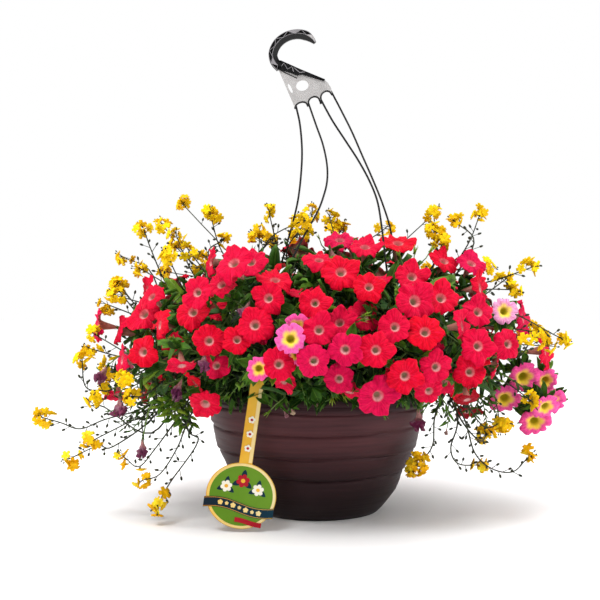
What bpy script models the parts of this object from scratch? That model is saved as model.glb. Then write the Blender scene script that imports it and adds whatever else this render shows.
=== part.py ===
# Flowering hanging basket standing on its base: banded pot, soil, hanger, bent tag,
# and flowering stems of petunia, calibrachoa and nemesia. Metres, +Z up, origin under the pot.
import math
import random

import bmesh
import bpy
from mathutils import Matrix, Vector
from mathutils.bvhtree import BVHTree

SEED = 11
GAP = 0.0003
MERGE = 0.000001
FLAT_ANGLE = 0.002
UP = Vector((0, 0, 1))

# Pot: radius at each height, outside and in, with a step at each turned band
POT_SIDES = 32
POT_HEIGHT = 0.165
POT_OUTSIDE = [
    (0.0830, 0.0000), (0.0925, 0.0070), (0.1110, 0.0310), (0.1196, 0.0545), (0.1215, 0.0590),
    (0.1362, 0.0860), (0.1380, 0.0900), (0.1448, 0.1210), (0.1466, 0.1260), (0.1500, 0.1562),
    (0.1525, 0.1570), (0.1525, 0.1650),
]
POT_INSIDE = [
    (0.0, 0.0024), (0.0810, 0.0024), (0.0900, 0.0090), (0.1172, 0.0560), (0.1338, 0.0860), (0.1422, 0.1210),
    (0.1478, 0.1562), (0.1490, 0.1650),
]
RIM_INSIDE = POT_INSIDE[-1][0]
POT_MARGIN = 0.004
DRAIN_SIDES = 6
DRAIN_REACH = 0.010
DRAIN_COUNT = 6
DRAIN_RADIUS = 0.005
DRAIN_CIRCLE = 0.056

# Soil, with a plain hole round the foot of each stem
SOIL_TOP = 0.146
SOIL_INSET = 0.0002
SOIL_MARGIN = 0.003
HOLE_RADIUS = 0.0044
HOLE_SIDES = 4
HOLE_DEPTH = 0.016
HOLE_SPACING = 0.0135
CUT_ABOVE = 0.030

# Hanger
STRAND_RADIUS = 0.0014
CLIP_WIDTH = 0.008
CLIP_ANGLES = {"back_left": 135, "front_left": 225, "front_right": 315, "back_right": 45}
HOOK_WIDTH = 0.0125
HOOK_DEPTH = 0.010
RIDGE_DEPTH = 0.008
PLATE_DEPTH = 0.0026
PLATE_CUT = 0.020
STRAND_SIDES = 5
STRAND_CURVE = 1.15
CLIP_RISE = 0.012

# Tag
TAG_THICK = 0.0008
TAG_RADIUS = 0.0440
TAG_CENTRE = Vector((-0.0968, -0.150, 0.0475))
TAG_LEAN = math.radians(8.2)
STRIP_WIDTH = 0.0165
STRIP_TOP = 0.136
STRIP_BEND = 0.023
STRIP_END = 0.085
DISC_STEPS = 26
BEND_STEPS = 6
SLOT_SIDE = 0.0006
SLOT_FACE = 0.0008
SLOT_FLOOR = 0.0004
SLOT_ABOVE = 0.050

# The view that the places below are read from: level, along +Y, in pixels of a 600 by 600 picture
EYE = Vector((-0.023, -1.41, 0.291))
FOCAL = 1007.0
PICTURE_CENTRE = 300.0
DEPTH_STEPS = 8

# Hanger outlines, read in the view at the depth of the pot's axis
HOOK_LINE = [
    (312, 40), (306, 36), (298, 34.5), (289, 36), (281, 40.5), (275.5, 47), (273, 55), (275, 62), (280, 67.5),
]
RIDGE = [(272, 61), (281, 61), (300, 70.5), (325, 78.5), (323, 82), (300, 76.5), (279, 71.5)]
# The plate's upper edge runs a hair below the ridge
PLATE = [
    (279.2, 71.8), (299.9, 76.75), (322.9, 82.25), (326.6, 81.6), (332, 91.5), (330, 93), (327, 91), (322, 98.5),
    (318, 100), (314, 97), (310, 103.5), (306, 104), (302, 102), (298, 108), (294, 108),
]
# Holes in the plate: centre, half sizes, corners and turn
PLATE_HOLE = ((302.5, 85.5), 0.0082, 0.0068, 12, 0)
PLATE_SLOT = ((290.5, 88.5), 0.0028, 0.0075, 8, math.radians(18))
STRANDS = {
    "back_left": [
        (296, 106), (300, 125), (302, 150), (301, 175), (298, 200), (293, 222), (288, 240), (280, 268),
        (267, 305), (254, 345)],
    "front_left": [
        (308, 102), (316, 125), (323, 145), (327, 165), (327, 182), (323, 198), (317, 213), (304, 236),
        (284, 275), (260, 325), (243, 365)],
    "front_right": [
        (320, 98), (332, 120), (345, 140), (358, 160), (369, 180), (377, 200), (381, 222), (385, 255),
        (390, 295), (397, 345)],
    "back_right": [
        (331, 91), (342, 112), (352, 132), (362, 155), (373, 180), (383, 205), (391, 232), (394, 265),
        (393, 305), (390, 345)],
}
STRAND_HIGH = 0.564
# Clip: radius and height of its outline, and where the strand meets it
CLIP_OUTLINE = [
    (0.1528, 0.1558), (0.1506, 0.1558), (0.1514, 0.1532), (0.1552, 0.1532), (0.1552, 0.1710),
    (0.1455, 0.1710), (0.1455, 0.1585), (0.1478, 0.1585), (0.1478, 0.1653), (0.1528, 0.1653),
]
STRAND_END = (0.1510, 0.1685)

# Stems: a ball at the fork, from whose faces every limb grows
GOLDEN = math.pi * (3 - math.sqrt(5))
CLEARANCE = 0.0007
NEAR_BALL = 6
HUB_RADIUS = 0.0045
HUB_LOW = 0.188
HUB_SHARE = 0.55
BLOOM_CORE = 0.205
SPRAY_CORE = 0.210
SPRAY_SHARE = 0.92
FOOT_LOW = SOIL_TOP - HOLE_DEPTH + GAP
FOOT_CLEAR = 0.156
FOOT_RADIUS = 0.0026
FOOT_REACH = 0.127
FOOT_SPREAD = 0.9
FOOT_PLACES = 400
FOOT_STEP = 0.0022
FOOT_TRIES = 16
FOOT_SHIFT = 0.010
FEET_OUT = 0.129
SLOT_CLEAR = (0.020, 0.009)
NECK = 0.180
NECK_OUT = 1.05
NECK_RADIUS = 0.0024
HUB_TRIES = 40
HUB_STEP = 0.0050
BRANCH_RADII = (0.0014, 0.0011)
BRANCH_SHARE = 0.55
BRANCH_LIFTS = (0.010, 0.024, -0.006, 0.040)
BRANCH_SWAYS = (0.0, 0.018, -0.018)
OVER_RIM = (0.185, 0.184)

# Petals and leaves
BLADE_THICK = 0.0008
BLOOM_SINK = 0.030
STALK_RADIUS = 0.001
SEEN_WIDER = 1.06
LOBES = 5
LOBE_DIP = 0.90
LOBE_LIFTS = (-0.0005, 0.0022)
TUBE_SHARE = 0.28
TUBE_DEPTH = 0.0105
THROAT_DEPTH = 0.0085
BELL_DIP = 0.86
BELL_DEPTH = 0.005
BELL_SINK = 0.6
BELL_BACK_RADIUS = 0.0165
HEAD_RADIUS = 0.0022
HEAD_TRIES = 420
HEAD_SHIFT = (0.0001, 0.00025)
HEAD_RADII = (0.0012, 0.0009)
HEAD_PROUD = 0.022
FLORET_DIP = 0.0012
FLORET_OUT = 0.0085
FLORET_LEAN = math.radians(84)
# Leaf: share of the length, share of the width and height of each section
LEAF_SECTIONS = ((0.36, 1.0, 0.0010), (0.70, 0.78, -0.0008))
LEAF_WIDTH = 0.58
LEAF_FOLD = 0.0022
LEAF_HALF = 0.0007
LEAF_DROP = 0.003
LEAF_PLACES = 8
PUSHES = (0.0, 0.005, -0.006, 0.011, -0.012, 0.017, -0.018, 0.023, -0.024, 0.030, 0.038)
TILTS = ((0, 0), (16, 0), (-16, 0), (0, 16), (0, -16))
SHIFTS = (0.0, 0.008, 0.016, 0.024, 0.034)
LEAF_TIPS = [
    (308, 394, 0.052), (182, 392, 0.040), (228, 384, 0.040), (268, 392, 0.036), (176, 345, 0.040),
    (298, 384, 0.036), (436, 348, 0.036), (392, 292, 0.036), (300, 275, 0.036), (190, 358, 0.036),
    (410, 398, 0.036), (452, 402, 0.034), (360, 372, 0.036), (236, 362, 0.034), (488, 300, 0.034),
    (132, 330, 0.036), (290, 300, 0.036), (497, 366, 0.036),
]

# Mound of flowers: an ellipsoid, flatter below than above
MOUND = Vector((0.006, 0.0, 0.215))
MOUND_X = 0.285
MOUND_Y = 0.265
MOUND_UP = 0.160
MOUND_DOWN = 0.095
FACE_THE_VIEW = 0.75
PETUNIA_STEMS = 24

# Petunia blooms seen from the front: across, down, width and the way they face
PETUNIAS = [
    (144, 314, 38, "out"), (158, 303, 30, "out"), (147, 290, 30, "left"), (98, 325, 34, "left"),
    (118, 322, 32, "left"), (193, 312, 36, "out"), (205, 303, 32, "out"), (224, 289, 34, "out"),
    (240, 280, 42, "out"), (251, 262, 36, "out"), (275, 280, 36, "up"), (269, 300, 34, "out"),
    (255, 325, 38, "out"), (236, 339, 30, "out"), (209, 341, 34, "out"), (143, 352, 34, "out"),
    (122, 360, 32, "left"), (160, 325, 32, "left"), (205, 404, 36, "out"), (144, 390, 30, "left"),
    (315, 303, 32, "out"), (319, 330, 36, "out"), (314, 361, 34, "out"), (279, 364, 36, "out"),
    (341, 272, 40, "out"), (319, 260, 32, "up"), (211, 262, 30, "left"), (369, 287, 32, "out"),
    (350, 306, 34, "out"), (345, 350, 36, "out"), (376, 350, 36, "out"), (395, 327, 34, "out"),
    (415, 301, 44, "out"), (441, 298, 38, "out"), (413, 274, 36, "out"), (444, 261, 34, "out"),
    (425, 332, 38, "out"), (405, 376, 36, "out"), (436, 367, 34, "out"), (429, 391, 30, "out"),
    (340, 240, 34, "up"), (365, 247, 36, "up"), (398, 243, 38, "up"), (480, 288, 34, "right"),
    (470, 266, 34, "out"), (478, 312, 34, "out"), (462, 326, 34, "right"), (474, 347, 36, "out"),
    (470, 372, 34, "out"), (464, 387, 26, "down"), (468, 412, 28, "down"), (523, 318, 36, "right"),
    (545, 350, 36, "right"), (508, 344, 32, "out"), (340, 387, 32, "out"), (378, 396, 42, "out"),
    (182, 366, 30, "down"), (118, 395, 28, "down"),
]
FACINGS = {
    "left": Vector((-1.0, -0.45, 0.15)), "right": Vector((1.0, -0.45, 0.15)),
    "up": Vector((0.05, -0.55, 0.90)), "down": Vector((0.15, -0.45, -0.80)),
}
BACK_WIDTHS = (0.040, 0.050)
BACK_TRIES = 150
BACK_SPACING = 0.057

# Calibrachoa blooms, by stem
CALIBRACHOAS = {
    "calibrachoa_middle": [(291, 340, 25), (296, 325, 22), (297, 354, 20), (259, 368, 20)],
    "calibrachoa_right": [(522, 376, 27), (504, 397, 26), (534, 420, 26), (559, 410, 24)],
    "calibrachoa_far_right": [(557, 378, 22), (541, 384, 22), (503, 312, 22)],
}
CALIBRACHOAS_BACK = {
    "calibrachoa_back_left": [(-0.245, 0.115, 0.165), (-0.215, 0.150, 0.195), (-0.262, 0.085, 0.205)],
    "calibrachoa_back_right": [(0.120, 0.245, 0.190), (0.150, 0.225, 0.160), (0.085, 0.258, 0.160)],
}

FLORET_RADIUS = 0.0068

# Nemesia sprays: depth of the spray, the fork where its stems part, and each head as its place,
# its florets and the places its stem passes on the way from the head to the fork
SPRAYS = {
    "nemesia_left_top": (0.03, (180, 315), [
        (144, 230, 5, (152, 252), (166, 283)), (132, 266, 4, (148, 282)), (155, 270, 4), (170, 287, 6)]),
    "nemesia_left_high": (0.00, (165, 330), [
        (112, 290, 4, (135, 305)), (130, 281, 4, (145, 300)), (105, 303, 4), (121, 300, 3)]),
    "nemesia_left_crown": (0.05, (205, 300), [
        (177, 237, 4, (190, 268)), (170, 254, 4), (187, 249, 4), (195, 261, 3)]),
    "nemesia_top_left": (0.06, (222, 290), [
        (214, 224, 7, (219, 250)), (226, 237, 4), (204, 250, 4)]),
    "nemesia_top_mid_left": (0.07, (250, 288), [
        (266, 216, 3, (268, 252)), (250, 241, 5), (233, 250, 4), (272, 239, 3), (259, 231, 3)]),
    "nemesia_top_mid": (0.06, (292, 285), [
        (295, 223, 4), (289, 237, 6), (302, 241, 3)]),
    "nemesia_top_right": (0.07, (325, 280), [
        (313, 213, 3), (308, 229, 4), (324, 223, 4), (343, 228, 3)]),
    "nemesia_right_top": (0.05, (425, 285), [
        (430, 228, 4), (441, 240, 6), (448, 229, 4)]),
    "nemesia_right_crown": (0.045, (455, 286), [
        (475, 222, 6, (474, 236), (464, 252))]),
    "nemesia_right_high": (-0.02, (480, 320), [
        (516, 271, 4, (504, 290)), (504, 284, 4), (513, 294, 5)]),
    "nemesia_right": (-0.03, (495, 345), [
        (545, 322, 5, (528, 332)), (516, 340, 4), (528, 350, 5)]),
    "nemesia_left": (-0.03, (160, 360), [
        (72, 365, 5, (80, 380), (92, 387), (130, 384)), (92, 350, 4, (125, 358)), (104, 366, 3)]),
    "nemesia_left_trail": (-0.05, (180, 392), [
        (40, 412, 5, (55, 428), (85, 425), (100, 420), (135, 417), (162, 412)),
        (88, 397, 5, (98, 411), (125, 409), (150, 402))]),
    "nemesia_left_low": (-0.08, (190, 396), [
        (105, 432, 8, (125, 430), (150, 418)), (84, 445, 4, (100, 450), (125, 441), (155, 424)),
        (128, 457, 4, (136, 464), (155, 445), (178, 415))]),
    "nemesia_left_hanging": (-0.10, (200, 392), [
        (150, 491, 6, (165, 481), (185, 455), (194, 425)),
        (143, 480, 2, (160, 474), (178, 448), (188, 420))]),
    "nemesia_left_face": (-0.10, (165, 372), [
        (125, 377, 5), (141, 373, 4), (131, 400, 5, (148, 390)), (118, 335, 4)]),
    "nemesia_right_hanging": (-0.06, (452, 392), [
        (525, 460, 4, (512, 472), (490, 470), (474, 450), (462, 420)),
        (487, 455, 4, (470, 469), (450, 462), (447, 425))]),
    "nemesia_right_low": (-0.09, (462, 396), [
        (500, 423, 6, (482, 425)), (495, 438, 5, (480, 448), (466, 430)),
        (415, 462, 6, (428, 452), (438, 420))]),
    "nemesia_right_edge": (-0.05, (500, 380), [
        (536, 345, 3), (500, 425, 3), (530, 400, 2)]),
}
BACK_SPRAYS = 6
BACK_HEADS = 3
BACK_FLORETS = 5

LEAF_LENGTH = (0.034, 0.046)
LEAVES_WANTED = 39
LEAF_TRIES = 260


def add_object(name, verts, faces, material):
    """Object of one closed mesh, placed in the scene."""
    mesh = bpy.data.meshes.new(name)
    mesh.from_pydata([tuple(v) for v in verts], [], faces)
    mesh.update()
    mesh.materials.append(material)
    piece = bpy.data.objects.new(name, mesh)
    bpy.context.scene.collection.objects.link(piece)
    return piece


def principled(name, colour, roughness, metallic=0.0):
    """Plain Principled material."""
    material = bpy.data.materials.new(name)
    material.use_nodes = True
    shader = material.node_tree.nodes["Principled BSDF"]
    shader.inputs["Base Color"].default_value = (*colour, 1)
    shader.inputs["Roughness"].default_value = roughness
    shader.inputs["Metallic"].default_value = metallic
    material.diffuse_color = (*colour, 1)
    return material


def evaluated_mesh(piece):
    """New mesh of an object with its modifiers applied."""
    bpy.context.view_layer.update()
    graph = bpy.context.evaluated_depsgraph_get()
    return bpy.data.meshes.new_from_object(piece.evaluated_get(graph))


def keep_largest_shell(mesh):
    """Drop scraps from a joined mesh, and merge and split its flat parts evenly."""
    work = bmesh.new()
    work.from_mesh(mesh)
    unseen = set(work.faces)
    shells = []
    while unseen:
        stack = [unseen.pop()]
        shell = []
        while stack:
            face = stack.pop()
            shell.append(face)
            for edge in face.edges:
                for other in edge.link_faces:
                    if other in unseen:
                        unseen.remove(other)
                        stack.append(other)
        shells.append(shell)
    shells.sort(key=len)
    for shell in shells[:-1]:
        bmesh.ops.delete(work, geom=shell, context="FACES")
    loose = [v for v in work.verts if not v.link_faces]
    bmesh.ops.delete(work, geom=loose, context="VERTS")
    bmesh.ops.dissolve_limit(work, angle_limit=FLAT_ANGLE, verts=work.verts, edges=work.edges)
    bmesh.ops.triangulate(work, faces=work.faces)
    work.to_mesh(mesh)
    work.free()


def join(name, operation, first, others, material, solver="MANIFOLD"):
    """One solid from a first shape and a collection of others, the others then removed."""
    body = add_object(name, *first, material)
    stock = bpy.data.collections.new(name + "_stock")
    bpy.context.scene.collection.children.link(stock)
    for index, shape in enumerate(others):
        extra = add_object(name + "_" + str(index), *shape, material)
        bpy.context.scene.collection.objects.unlink(extra)
        stock.objects.link(extra)
    change = body.modifiers.new("join", "BOOLEAN")
    change.operation = operation
    change.operand_type = "COLLECTION"
    change.collection = stock
    change.solver = solver
    joined = evaluated_mesh(body)
    body.modifiers.clear()
    body.data = joined
    for extra in list(stock.objects):
        bpy.data.objects.remove(extra)
    bpy.data.collections.remove(stock)
    keep_largest_shell(body.data)
    return body


def moved(shape, matrix):
    """Shape with its corners moved by a matrix."""
    verts, faces = shape
    return [matrix @ Vector(v) for v in verts], faces


def frame_along(direction, side=UP):
    """Rotation whose Z runs along a direction, with Y as near the side as it goes."""
    z = direction.normalized()
    x = side.cross(z)
    if x.length < MERGE:
        x = Vector((1, 0, 0))
    x.normalize()
    y = z.cross(x)
    return Matrix((x, y, z)).transposed().to_4x4()


def tube(points, radii, sides=3):
    """Closed tapering tube along a line of points."""
    points = [Vector(p) for p in points]
    verts = []
    faces = []
    side = None
    for index, point in enumerate(points):
        ahead = points[min(index + 1, len(points) - 1)]
        behind = points[max(index - 1, 0)]
        run = (ahead - behind).normalized()
        if side is None:
            side = run.orthogonal().normalized()
        side = (side - run * side.dot(run)).normalized()
        other = run.cross(side)
        for k in range(sides):
            angle = 2 * math.pi * k / sides
            verts.append(point + (side * math.cos(angle) + other * math.sin(angle)) * radii[index])
    for index in range(len(points) - 1):
        low = index * sides
        for k in range(sides):
            a, b = low + k, low + (k + 1) % sides
            faces += [(a, b, b + sides), (a, b + sides, a + sides)]
    top = (len(points) - 1) * sides
    for k in range(1, sides - 1):
        faces.append((0, k + 1, k))
        faces.append((top, top + k, top + k + 1))
    return verts, faces


def extruded(outline, thickness):
    """Outline in X and Z, thickened evenly along Y."""
    work = bmesh.new()
    corners = [work.verts.new((x, -thickness / 2, z)) for x, z in outline]
    face = work.faces.new(corners)
    solid = bmesh.ops.extrude_face_region(work, geom=[face])
    new_verts = [g for g in solid["geom"] if isinstance(g, bmesh.types.BMVert)]
    bmesh.ops.translate(work, vec=(0, thickness, 0), verts=new_verts)
    bmesh.ops.recalc_face_normals(work, faces=work.faces)
    bmesh.ops.triangulate(work, faces=work.faces)
    work.verts.index_update()
    shape = ([v.co.copy() for v in work.verts], [[v.index for v in f.verts] for f in work.faces])
    work.free()
    return shape


def box(low, high):
    """Box between two corners."""
    work = bmesh.new()
    bmesh.ops.create_cube(work, size=1)
    size = Vector(high) - Vector(low)
    middle = (Vector(high) + Vector(low)) / 2
    bmesh.ops.scale(work, vec=size, verts=work.verts)
    bmesh.ops.translate(work, vec=middle, verts=work.verts)
    bmesh.ops.triangulate(work, faces=work.faces)
    work.verts.index_update()
    shape = ([v.co.copy() for v in work.verts], [[v.index for v in f.verts] for f in work.faces])
    work.free()
    return shape


def rod(x, y, low, high, radius, sides):
    """Upright rod."""
    return tube([(x, y, low), (x, y, high)], [radius, radius], sides)


def turned(profile):
    """Closed profile of radius and height turned about Z, with a flat facing each clip."""
    work = bmesh.new()
    start = Matrix.Rotation(math.pi / POT_SIDES, 4, "Z")
    corners = [work.verts.new(start @ Vector((r, 0, z))) for r, z in profile]
    edges = [work.edges.new(pair) for pair in zip(corners, corners[1:])]
    bmesh.ops.spin(work, geom=corners + edges, cent=(0, 0, 0), axis=(0, 0, 1),
                   angle=2 * math.pi, steps=POT_SIDES, use_merge=True)
    bmesh.ops.remove_doubles(work, verts=work.verts, dist=MERGE)
    bmesh.ops.recalc_face_normals(work, faces=work.faces)
    bmesh.ops.triangulate(work, faces=work.faces)
    work.verts.index_update()
    shape = ([v.co.copy() for v in work.verts], [[v.index for v in f.verts] for f in work.faces])
    work.free()
    return shape


def pot_radius(z):
    """Outer radius of the pot at a height."""
    if z >= POT_OUTSIDE[-1][1]:
        return POT_OUTSIDE[-1][0]
    for (r0, z0), (r1, z1) in zip(POT_OUTSIDE, POT_OUTSIDE[1:]):
        if z0 <= z <= z1 and z1 > z0:
            return r0 + (r1 - r0) * (z - z0) / (z1 - z0)
    return POT_OUTSIDE[0][0]


def make_pot(material):
    """Thin-walled pot with drain holes round the middle of its floor."""
    profile = [(0.0, 0.0)] + POT_OUTSIDE + list(reversed(POT_INSIDE))
    drains = []
    for index in range(DRAIN_COUNT):
        angle = 2 * math.pi * (index + 0.5) / DRAIN_COUNT
        x, y = DRAIN_CIRCLE * math.cos(angle), DRAIN_CIRCLE * math.sin(angle)
        drains.append(rod(x, y, -DRAIN_REACH, DRAIN_REACH, DRAIN_RADIUS, DRAIN_SIDES))
    return join("pot", "DIFFERENCE", turned(profile), drains, material)


def soil_shape():
    """Soil body, a gap inside the wall, with a flat top."""
    gap = GAP / math.cos(math.pi / POT_SIDES) + SOIL_INSET
    floor = POT_INSIDE[0][1] + GAP
    wall = [(r - gap, max(z, floor)) for r, z in POT_INSIDE[1:-2]]
    low, high = POT_INSIDE[-3:-1]
    share = (SOIL_TOP - low[1]) / (high[1] - low[1])
    edge = low[0] + (high[0] - low[0]) * share - gap
    return turned([(0.0, floor)] + wall + [(edge, SOIL_TOP), (0.0, SOIL_TOP)])


def make_soil(feet, slot, material):
    """Soil with a plain hole for each stem and a slot for the tag."""
    holes = [rod(x, y, SOIL_TOP - HOLE_DEPTH, SOIL_TOP + CUT_ABOVE, HOLE_RADIUS, HOLE_SIDES) for x, y in feet]
    return join("soil", "DIFFERENCE", soil_shape(), holes + [slot], material)


def seen_at(u, v, depth):
    """Point at a depth that shows at a place in the picture."""
    reach = (depth - EYE.y) / FOCAL
    return Vector((EYE.x + (u - PICTURE_CENTRE) * reach, depth, EYE.z - (v - PICTURE_CENTRE) * reach))


def mound_part(point):
    """Place relative to the mound: length 1 lies on its surface."""
    upright = MOUND_UP if point.z > MOUND.z else MOUND_DOWN
    away = point - MOUND
    return Vector((away.x / MOUND_X, away.y / MOUND_Y, away.z / upright))


def outward(point):
    """Way out of the mound at a point."""
    upright = MOUND_UP if point.z > MOUND.z else MOUND_DOWN
    part = mound_part(point)
    return Vector((part.x / MOUND_X, part.y / MOUND_Y, part.z / upright)).normalized()


def on_mound(u, v):
    """Front surface of the mound at a place in the picture."""
    depth = 0.0
    for _ in range(DEPTH_STEPS):
        part = mound_part(seen_at(u, v, depth))
        rest = 1 - part.x ** 2 - part.z ** 2
        depth = MOUND.y - MOUND_Y * math.sqrt(max(rest, 0.0))
    return seen_at(u, v, depth)


def circle(count, radius, height):
    """Ring of points about Z, anticlockwise from above."""
    angles = [math.tau * k / count for k in range(count)]
    return [Vector((radius * math.cos(angle), radius * math.sin(angle), height)) for angle in angles]


def loft(rings):
    """Side faces between rings of points, which may differ in number, as corners and triangles."""
    verts = [p for ring in rings for p in ring]
    faces = []
    low_start = 0
    for low, high in zip(rings, rings[1:]):
        m, n = len(low), len(high)
        high_start = low_start + m
        i = j = 0
        while i < m or j < n:
            if n > 1 and j < n and (i == m or (j + 1) * m <= (i + 1) * n):
                faces.append((low_start + i % m, high_start + (j + 1) % n, high_start + j))
                j += 1
            elif i < m:
                faces.append((low_start + i, low_start + (i + 1) % m, high_start + j % n))
                i += 1
            else:
                break
        low_start = high_start
    if len(rings[-1]) == 3:
        faces.append((low_start, low_start + 1, low_start + 2))
    return verts, faces


def lobed_rim(radius, dip, lifts):
    """Ring with a corner at each lobe and one in each notch between lobes."""
    rim = []
    for j in range(2 * LOBES):
        reach, angle = radius * (1, dip)[j % 2], math.pi * j / LOBES
        rim.append(Vector((reach * math.cos(angle), reach * math.sin(angle), lifts[j % 2])))
    return rim


def petunia_rings(radius):
    """Petunia: five broad lobes round a hollow throat, over a tapering tube."""
    rim = lobed_rim(radius, LOBE_DIP, LOBE_LIFTS)
    back = [p - UP * BLADE_THICK for p in rim]
    return [circle(LOBES, radius * TUBE_SHARE, -TUBE_DEPTH), back, rim, [-UP * THROAT_DEPTH]]


def calibrachoa_rings(radius):
    """Small bell bloom with five lobes."""
    rim = lobed_rim(radius, BELL_DIP, (0, 0))
    return [[p - UP * BLADE_THICK for p in rim], rim, [-UP * BELL_DEPTH]]


def floret_rings(radius):
    """Nemesia floret: a shallow cup on a short stalk."""
    return [circle(4, radius, 0.0), [-UP * FLORET_DIP]]


def leaf_rings(length):
    """Leaf along +Z from its stalk, its face to +X, as flat sections and a tip."""
    rings = []
    for share, wide, lift in LEAF_SECTIONS:
        half, edge, z = length * LEAF_WIDTH / 2 * wide, lift + LEAF_FOLD, length * share
        rings.append([Vector((lift + LEAF_HALF, 0, z)), Vector((edge, half, z)),
                      Vector((lift - LEAF_HALF, 0, z)), Vector((edge, -half, z))])
    return rings + [[Vector((-LEAF_DROP, 0, length))]]


def ball_shape(centre, radius, faces_wanted):
    """Small ball at a fork or in a head: eight or twenty triangles."""
    if faces_wanted == 20:
        work = bmesh.new()
        bmesh.ops.create_icosphere(work, subdivisions=1, radius=radius)
        work.verts.index_update()
        verts = [centre + v.co for v in work.verts]
        faces = [tuple(v.index for v in f.verts) for f in work.faces]
        work.free()
        return verts, faces
    poles = [Vector((0, 0, radius)), Vector((0, 0, -radius))]
    verts = [centre + p for p in circle(4, radius, 0) + poles]
    faces = []
    for k in range(4):
        faces += [(k, (k + 1) % 4, 4), ((k + 1) % 4, k, 5)]
    return verts, faces


def face_middle(ball, face):
    return sum((ball[0][i] for i in face), Vector()) / 3


def best_face(ball, used, target):
    """Unused face of a ball that looks most towards a point."""
    centre = sum(ball[0], Vector()) / len(ball[0])
    way = (target - centre).normalized()
    free = [f for f in ball[1] if f not in used]
    if not free:
        return None
    return max(free, key=lambda f: (face_middle(ball, f) - centre).normalized().dot(way))


def limb_rings(start, line, radii):
    """Three-cornered rings from a ball's face along a line of points."""
    rings = [list(start)]
    middle = sum(start, Vector()) / 3
    run = (start[1] - start[0]).cross(start[2] - start[0]).normalized()
    offsets = [(p - middle).normalized() for p in start]
    previous = middle
    for index, (point, radius) in enumerate(zip(line, radii)):
        following = line[index + 1] if index + 1 < len(line) else point + (point - previous)
        new_run = (following - previous).normalized()
        turn = run.rotation_difference(new_run)
        offsets = [turn @ o for o in offsets]
        rings.append([point + o * radius for o in offsets])
        run, previous = new_run, point
    return rings


def seated(rings, seat, first):
    """Rings of a bloom or leaf in place, turned about its axis to meet the stalk's first corner."""
    local = seat.inverted() @ first
    turn = seat @ Matrix.Rotation(math.atan2(local.y, local.x), 4, "Z")
    return [[turn @ p for p in ring] for ring in rings]


class Garden:
    """Shapes placed so far, by the stem that they grow on, with a test for clear space."""

    def __init__(self):
        self.shapes = {}
        self.balls = {}
        self.used = {}
        self.placed = []
        self.fixed = []

    def obstacle(self, shape):
        """Something that no stem may touch."""
        self.fixed.append(self.measured(shape))

    def measured(self, shape):
        """Bounds and search tree of a shape."""
        verts, faces = shape
        low, high = bounds_of(verts)
        return low, high, BVHTree.FromPolygons([tuple(v) for v in verts], faces)

    def is_clear(self, stem, shape, skipped=NEAR_BALL, rooted=False):
        """True if the shape, grown by a margin, meets nothing but the ball it grows from."""
        verts, faces = shape
        for v in verts:
            if v.z < POT_HEIGHT + SOIL_MARGIN:
                reach = math.hypot(v.x, v.y)
                in_pot = reach < RIM_INSIDE - POT_MARGIN and (rooted or v.z > SOIL_TOP + SOIL_MARGIN)
                if reach < pot_radius(v.z) + POT_MARGIN and not in_pot:
                    return False
        verts = grow(shape, CLEARANCE)
        low, high = bounds_of(verts)
        full = far = None
        for other, other_full, other_far in self.placed:
            if not overlaps(low, high, other_full[0], other_full[1]):
                continue
            if full is None:
                full = BVHTree.FromPolygons(verts, faces)
            if other != stem:
                if full.overlap(other_full[2]):
                    return False
                continue
            if far is None:
                far = BVHTree.FromPolygons(verts, faces[skipped:])
            if far.overlap(other_full[2]) or full.overlap(other_far[2]):
                return False
        for other in self.fixed:
            if overlaps(low, high, other[0], other[1]):
                full = full or BVHTree.FromPolygons(verts, faces)
                if full.overlap(other[2]):
                    return False
        return True

    def is_clean(self, stem, shape, face):
        """True if a limb from a face of the stem's ball crosses neither itself nor the rest of the stem."""
        verts, faces = self.balls[stem]
        ball = (verts, [f for f in faces if f != face])
        return not any(crosses(shape, other) for other in [shape, ball] + self.shapes.get(stem, []))

    def add(self, stem, shape, skipped=NEAR_BALL):
        """Keep a placed shape."""
        self.shapes.setdefault(stem, []).append(shape)
        self.placed.append((stem, self.measured(shape), self.measured((shape[0], shape[1][skipped:]))))

    def start_ball(self, stem, ball):
        """Ball at a stem's fork, whose faces its limbs grow from."""
        self.balls[stem] = ball
        self.used[stem] = []

    def face_towards(self, stem, target):
        """Free face of a stem's ball, as its corners."""
        face = best_face(self.balls[stem], self.used[stem], target)
        return face, [self.balls[stem][0][i] for i in face] if face else None


def bounds_of(verts):
    """Lowest and highest corners."""
    xs, ys, zs = zip(*verts)
    return (min(xs), min(ys), min(zs)), (max(xs), max(ys), max(zs))


def corner_keys(shape, face):
    """Corners of a face, rounded so that faces that share one can be told."""
    return {tuple(round(c, 6) for c in shape[0][i]) for i in face}


def crosses(shape, other):
    """True if two shapes meet anywhere but along edges and corners that they share."""
    if not overlaps(*bounds_of(shape[0]), *bounds_of(other[0])):
        return False
    tree = BVHTree.FromPolygons([tuple(v) for v in shape[0]], shape[1])
    other_tree = BVHTree.FromPolygons([tuple(v) for v in other[0]], other[1])
    for a, b in tree.overlap(other_tree):
        if not corner_keys(shape, shape[1][a]) & corner_keys(other, other[1][b]):
            return True
    return False


def grow(shape, margin):
    """Corners of a shape moved out along their normals."""
    verts, faces = shape
    normals = [Vector() for _ in verts]
    for face in faces:
        a, b, c = (Vector(verts[i]) for i in face)
        normal = (b - a).cross(c - a).normalized()
        for i in face:
            normals[i] += normal
    return [Vector(v) + n.normalized() * margin for v, n in zip(verts, normals)]


def overlaps(low_a, high_a, low_b, high_b):
    """True if two upright boxes meet."""
    return (low_a[0] <= high_b[0] and low_b[0] <= high_a[0] and low_a[1] <= high_b[1]
            and low_b[1] <= high_a[1] and low_a[2] <= high_b[2] and low_b[2] <= high_a[2])


def flat_places(places):
    """Picture places on the hanger, as across and up."""
    return [(p.x, p.z) for p in (seen_at(u, v, 0.0) for u, v in places)]


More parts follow.
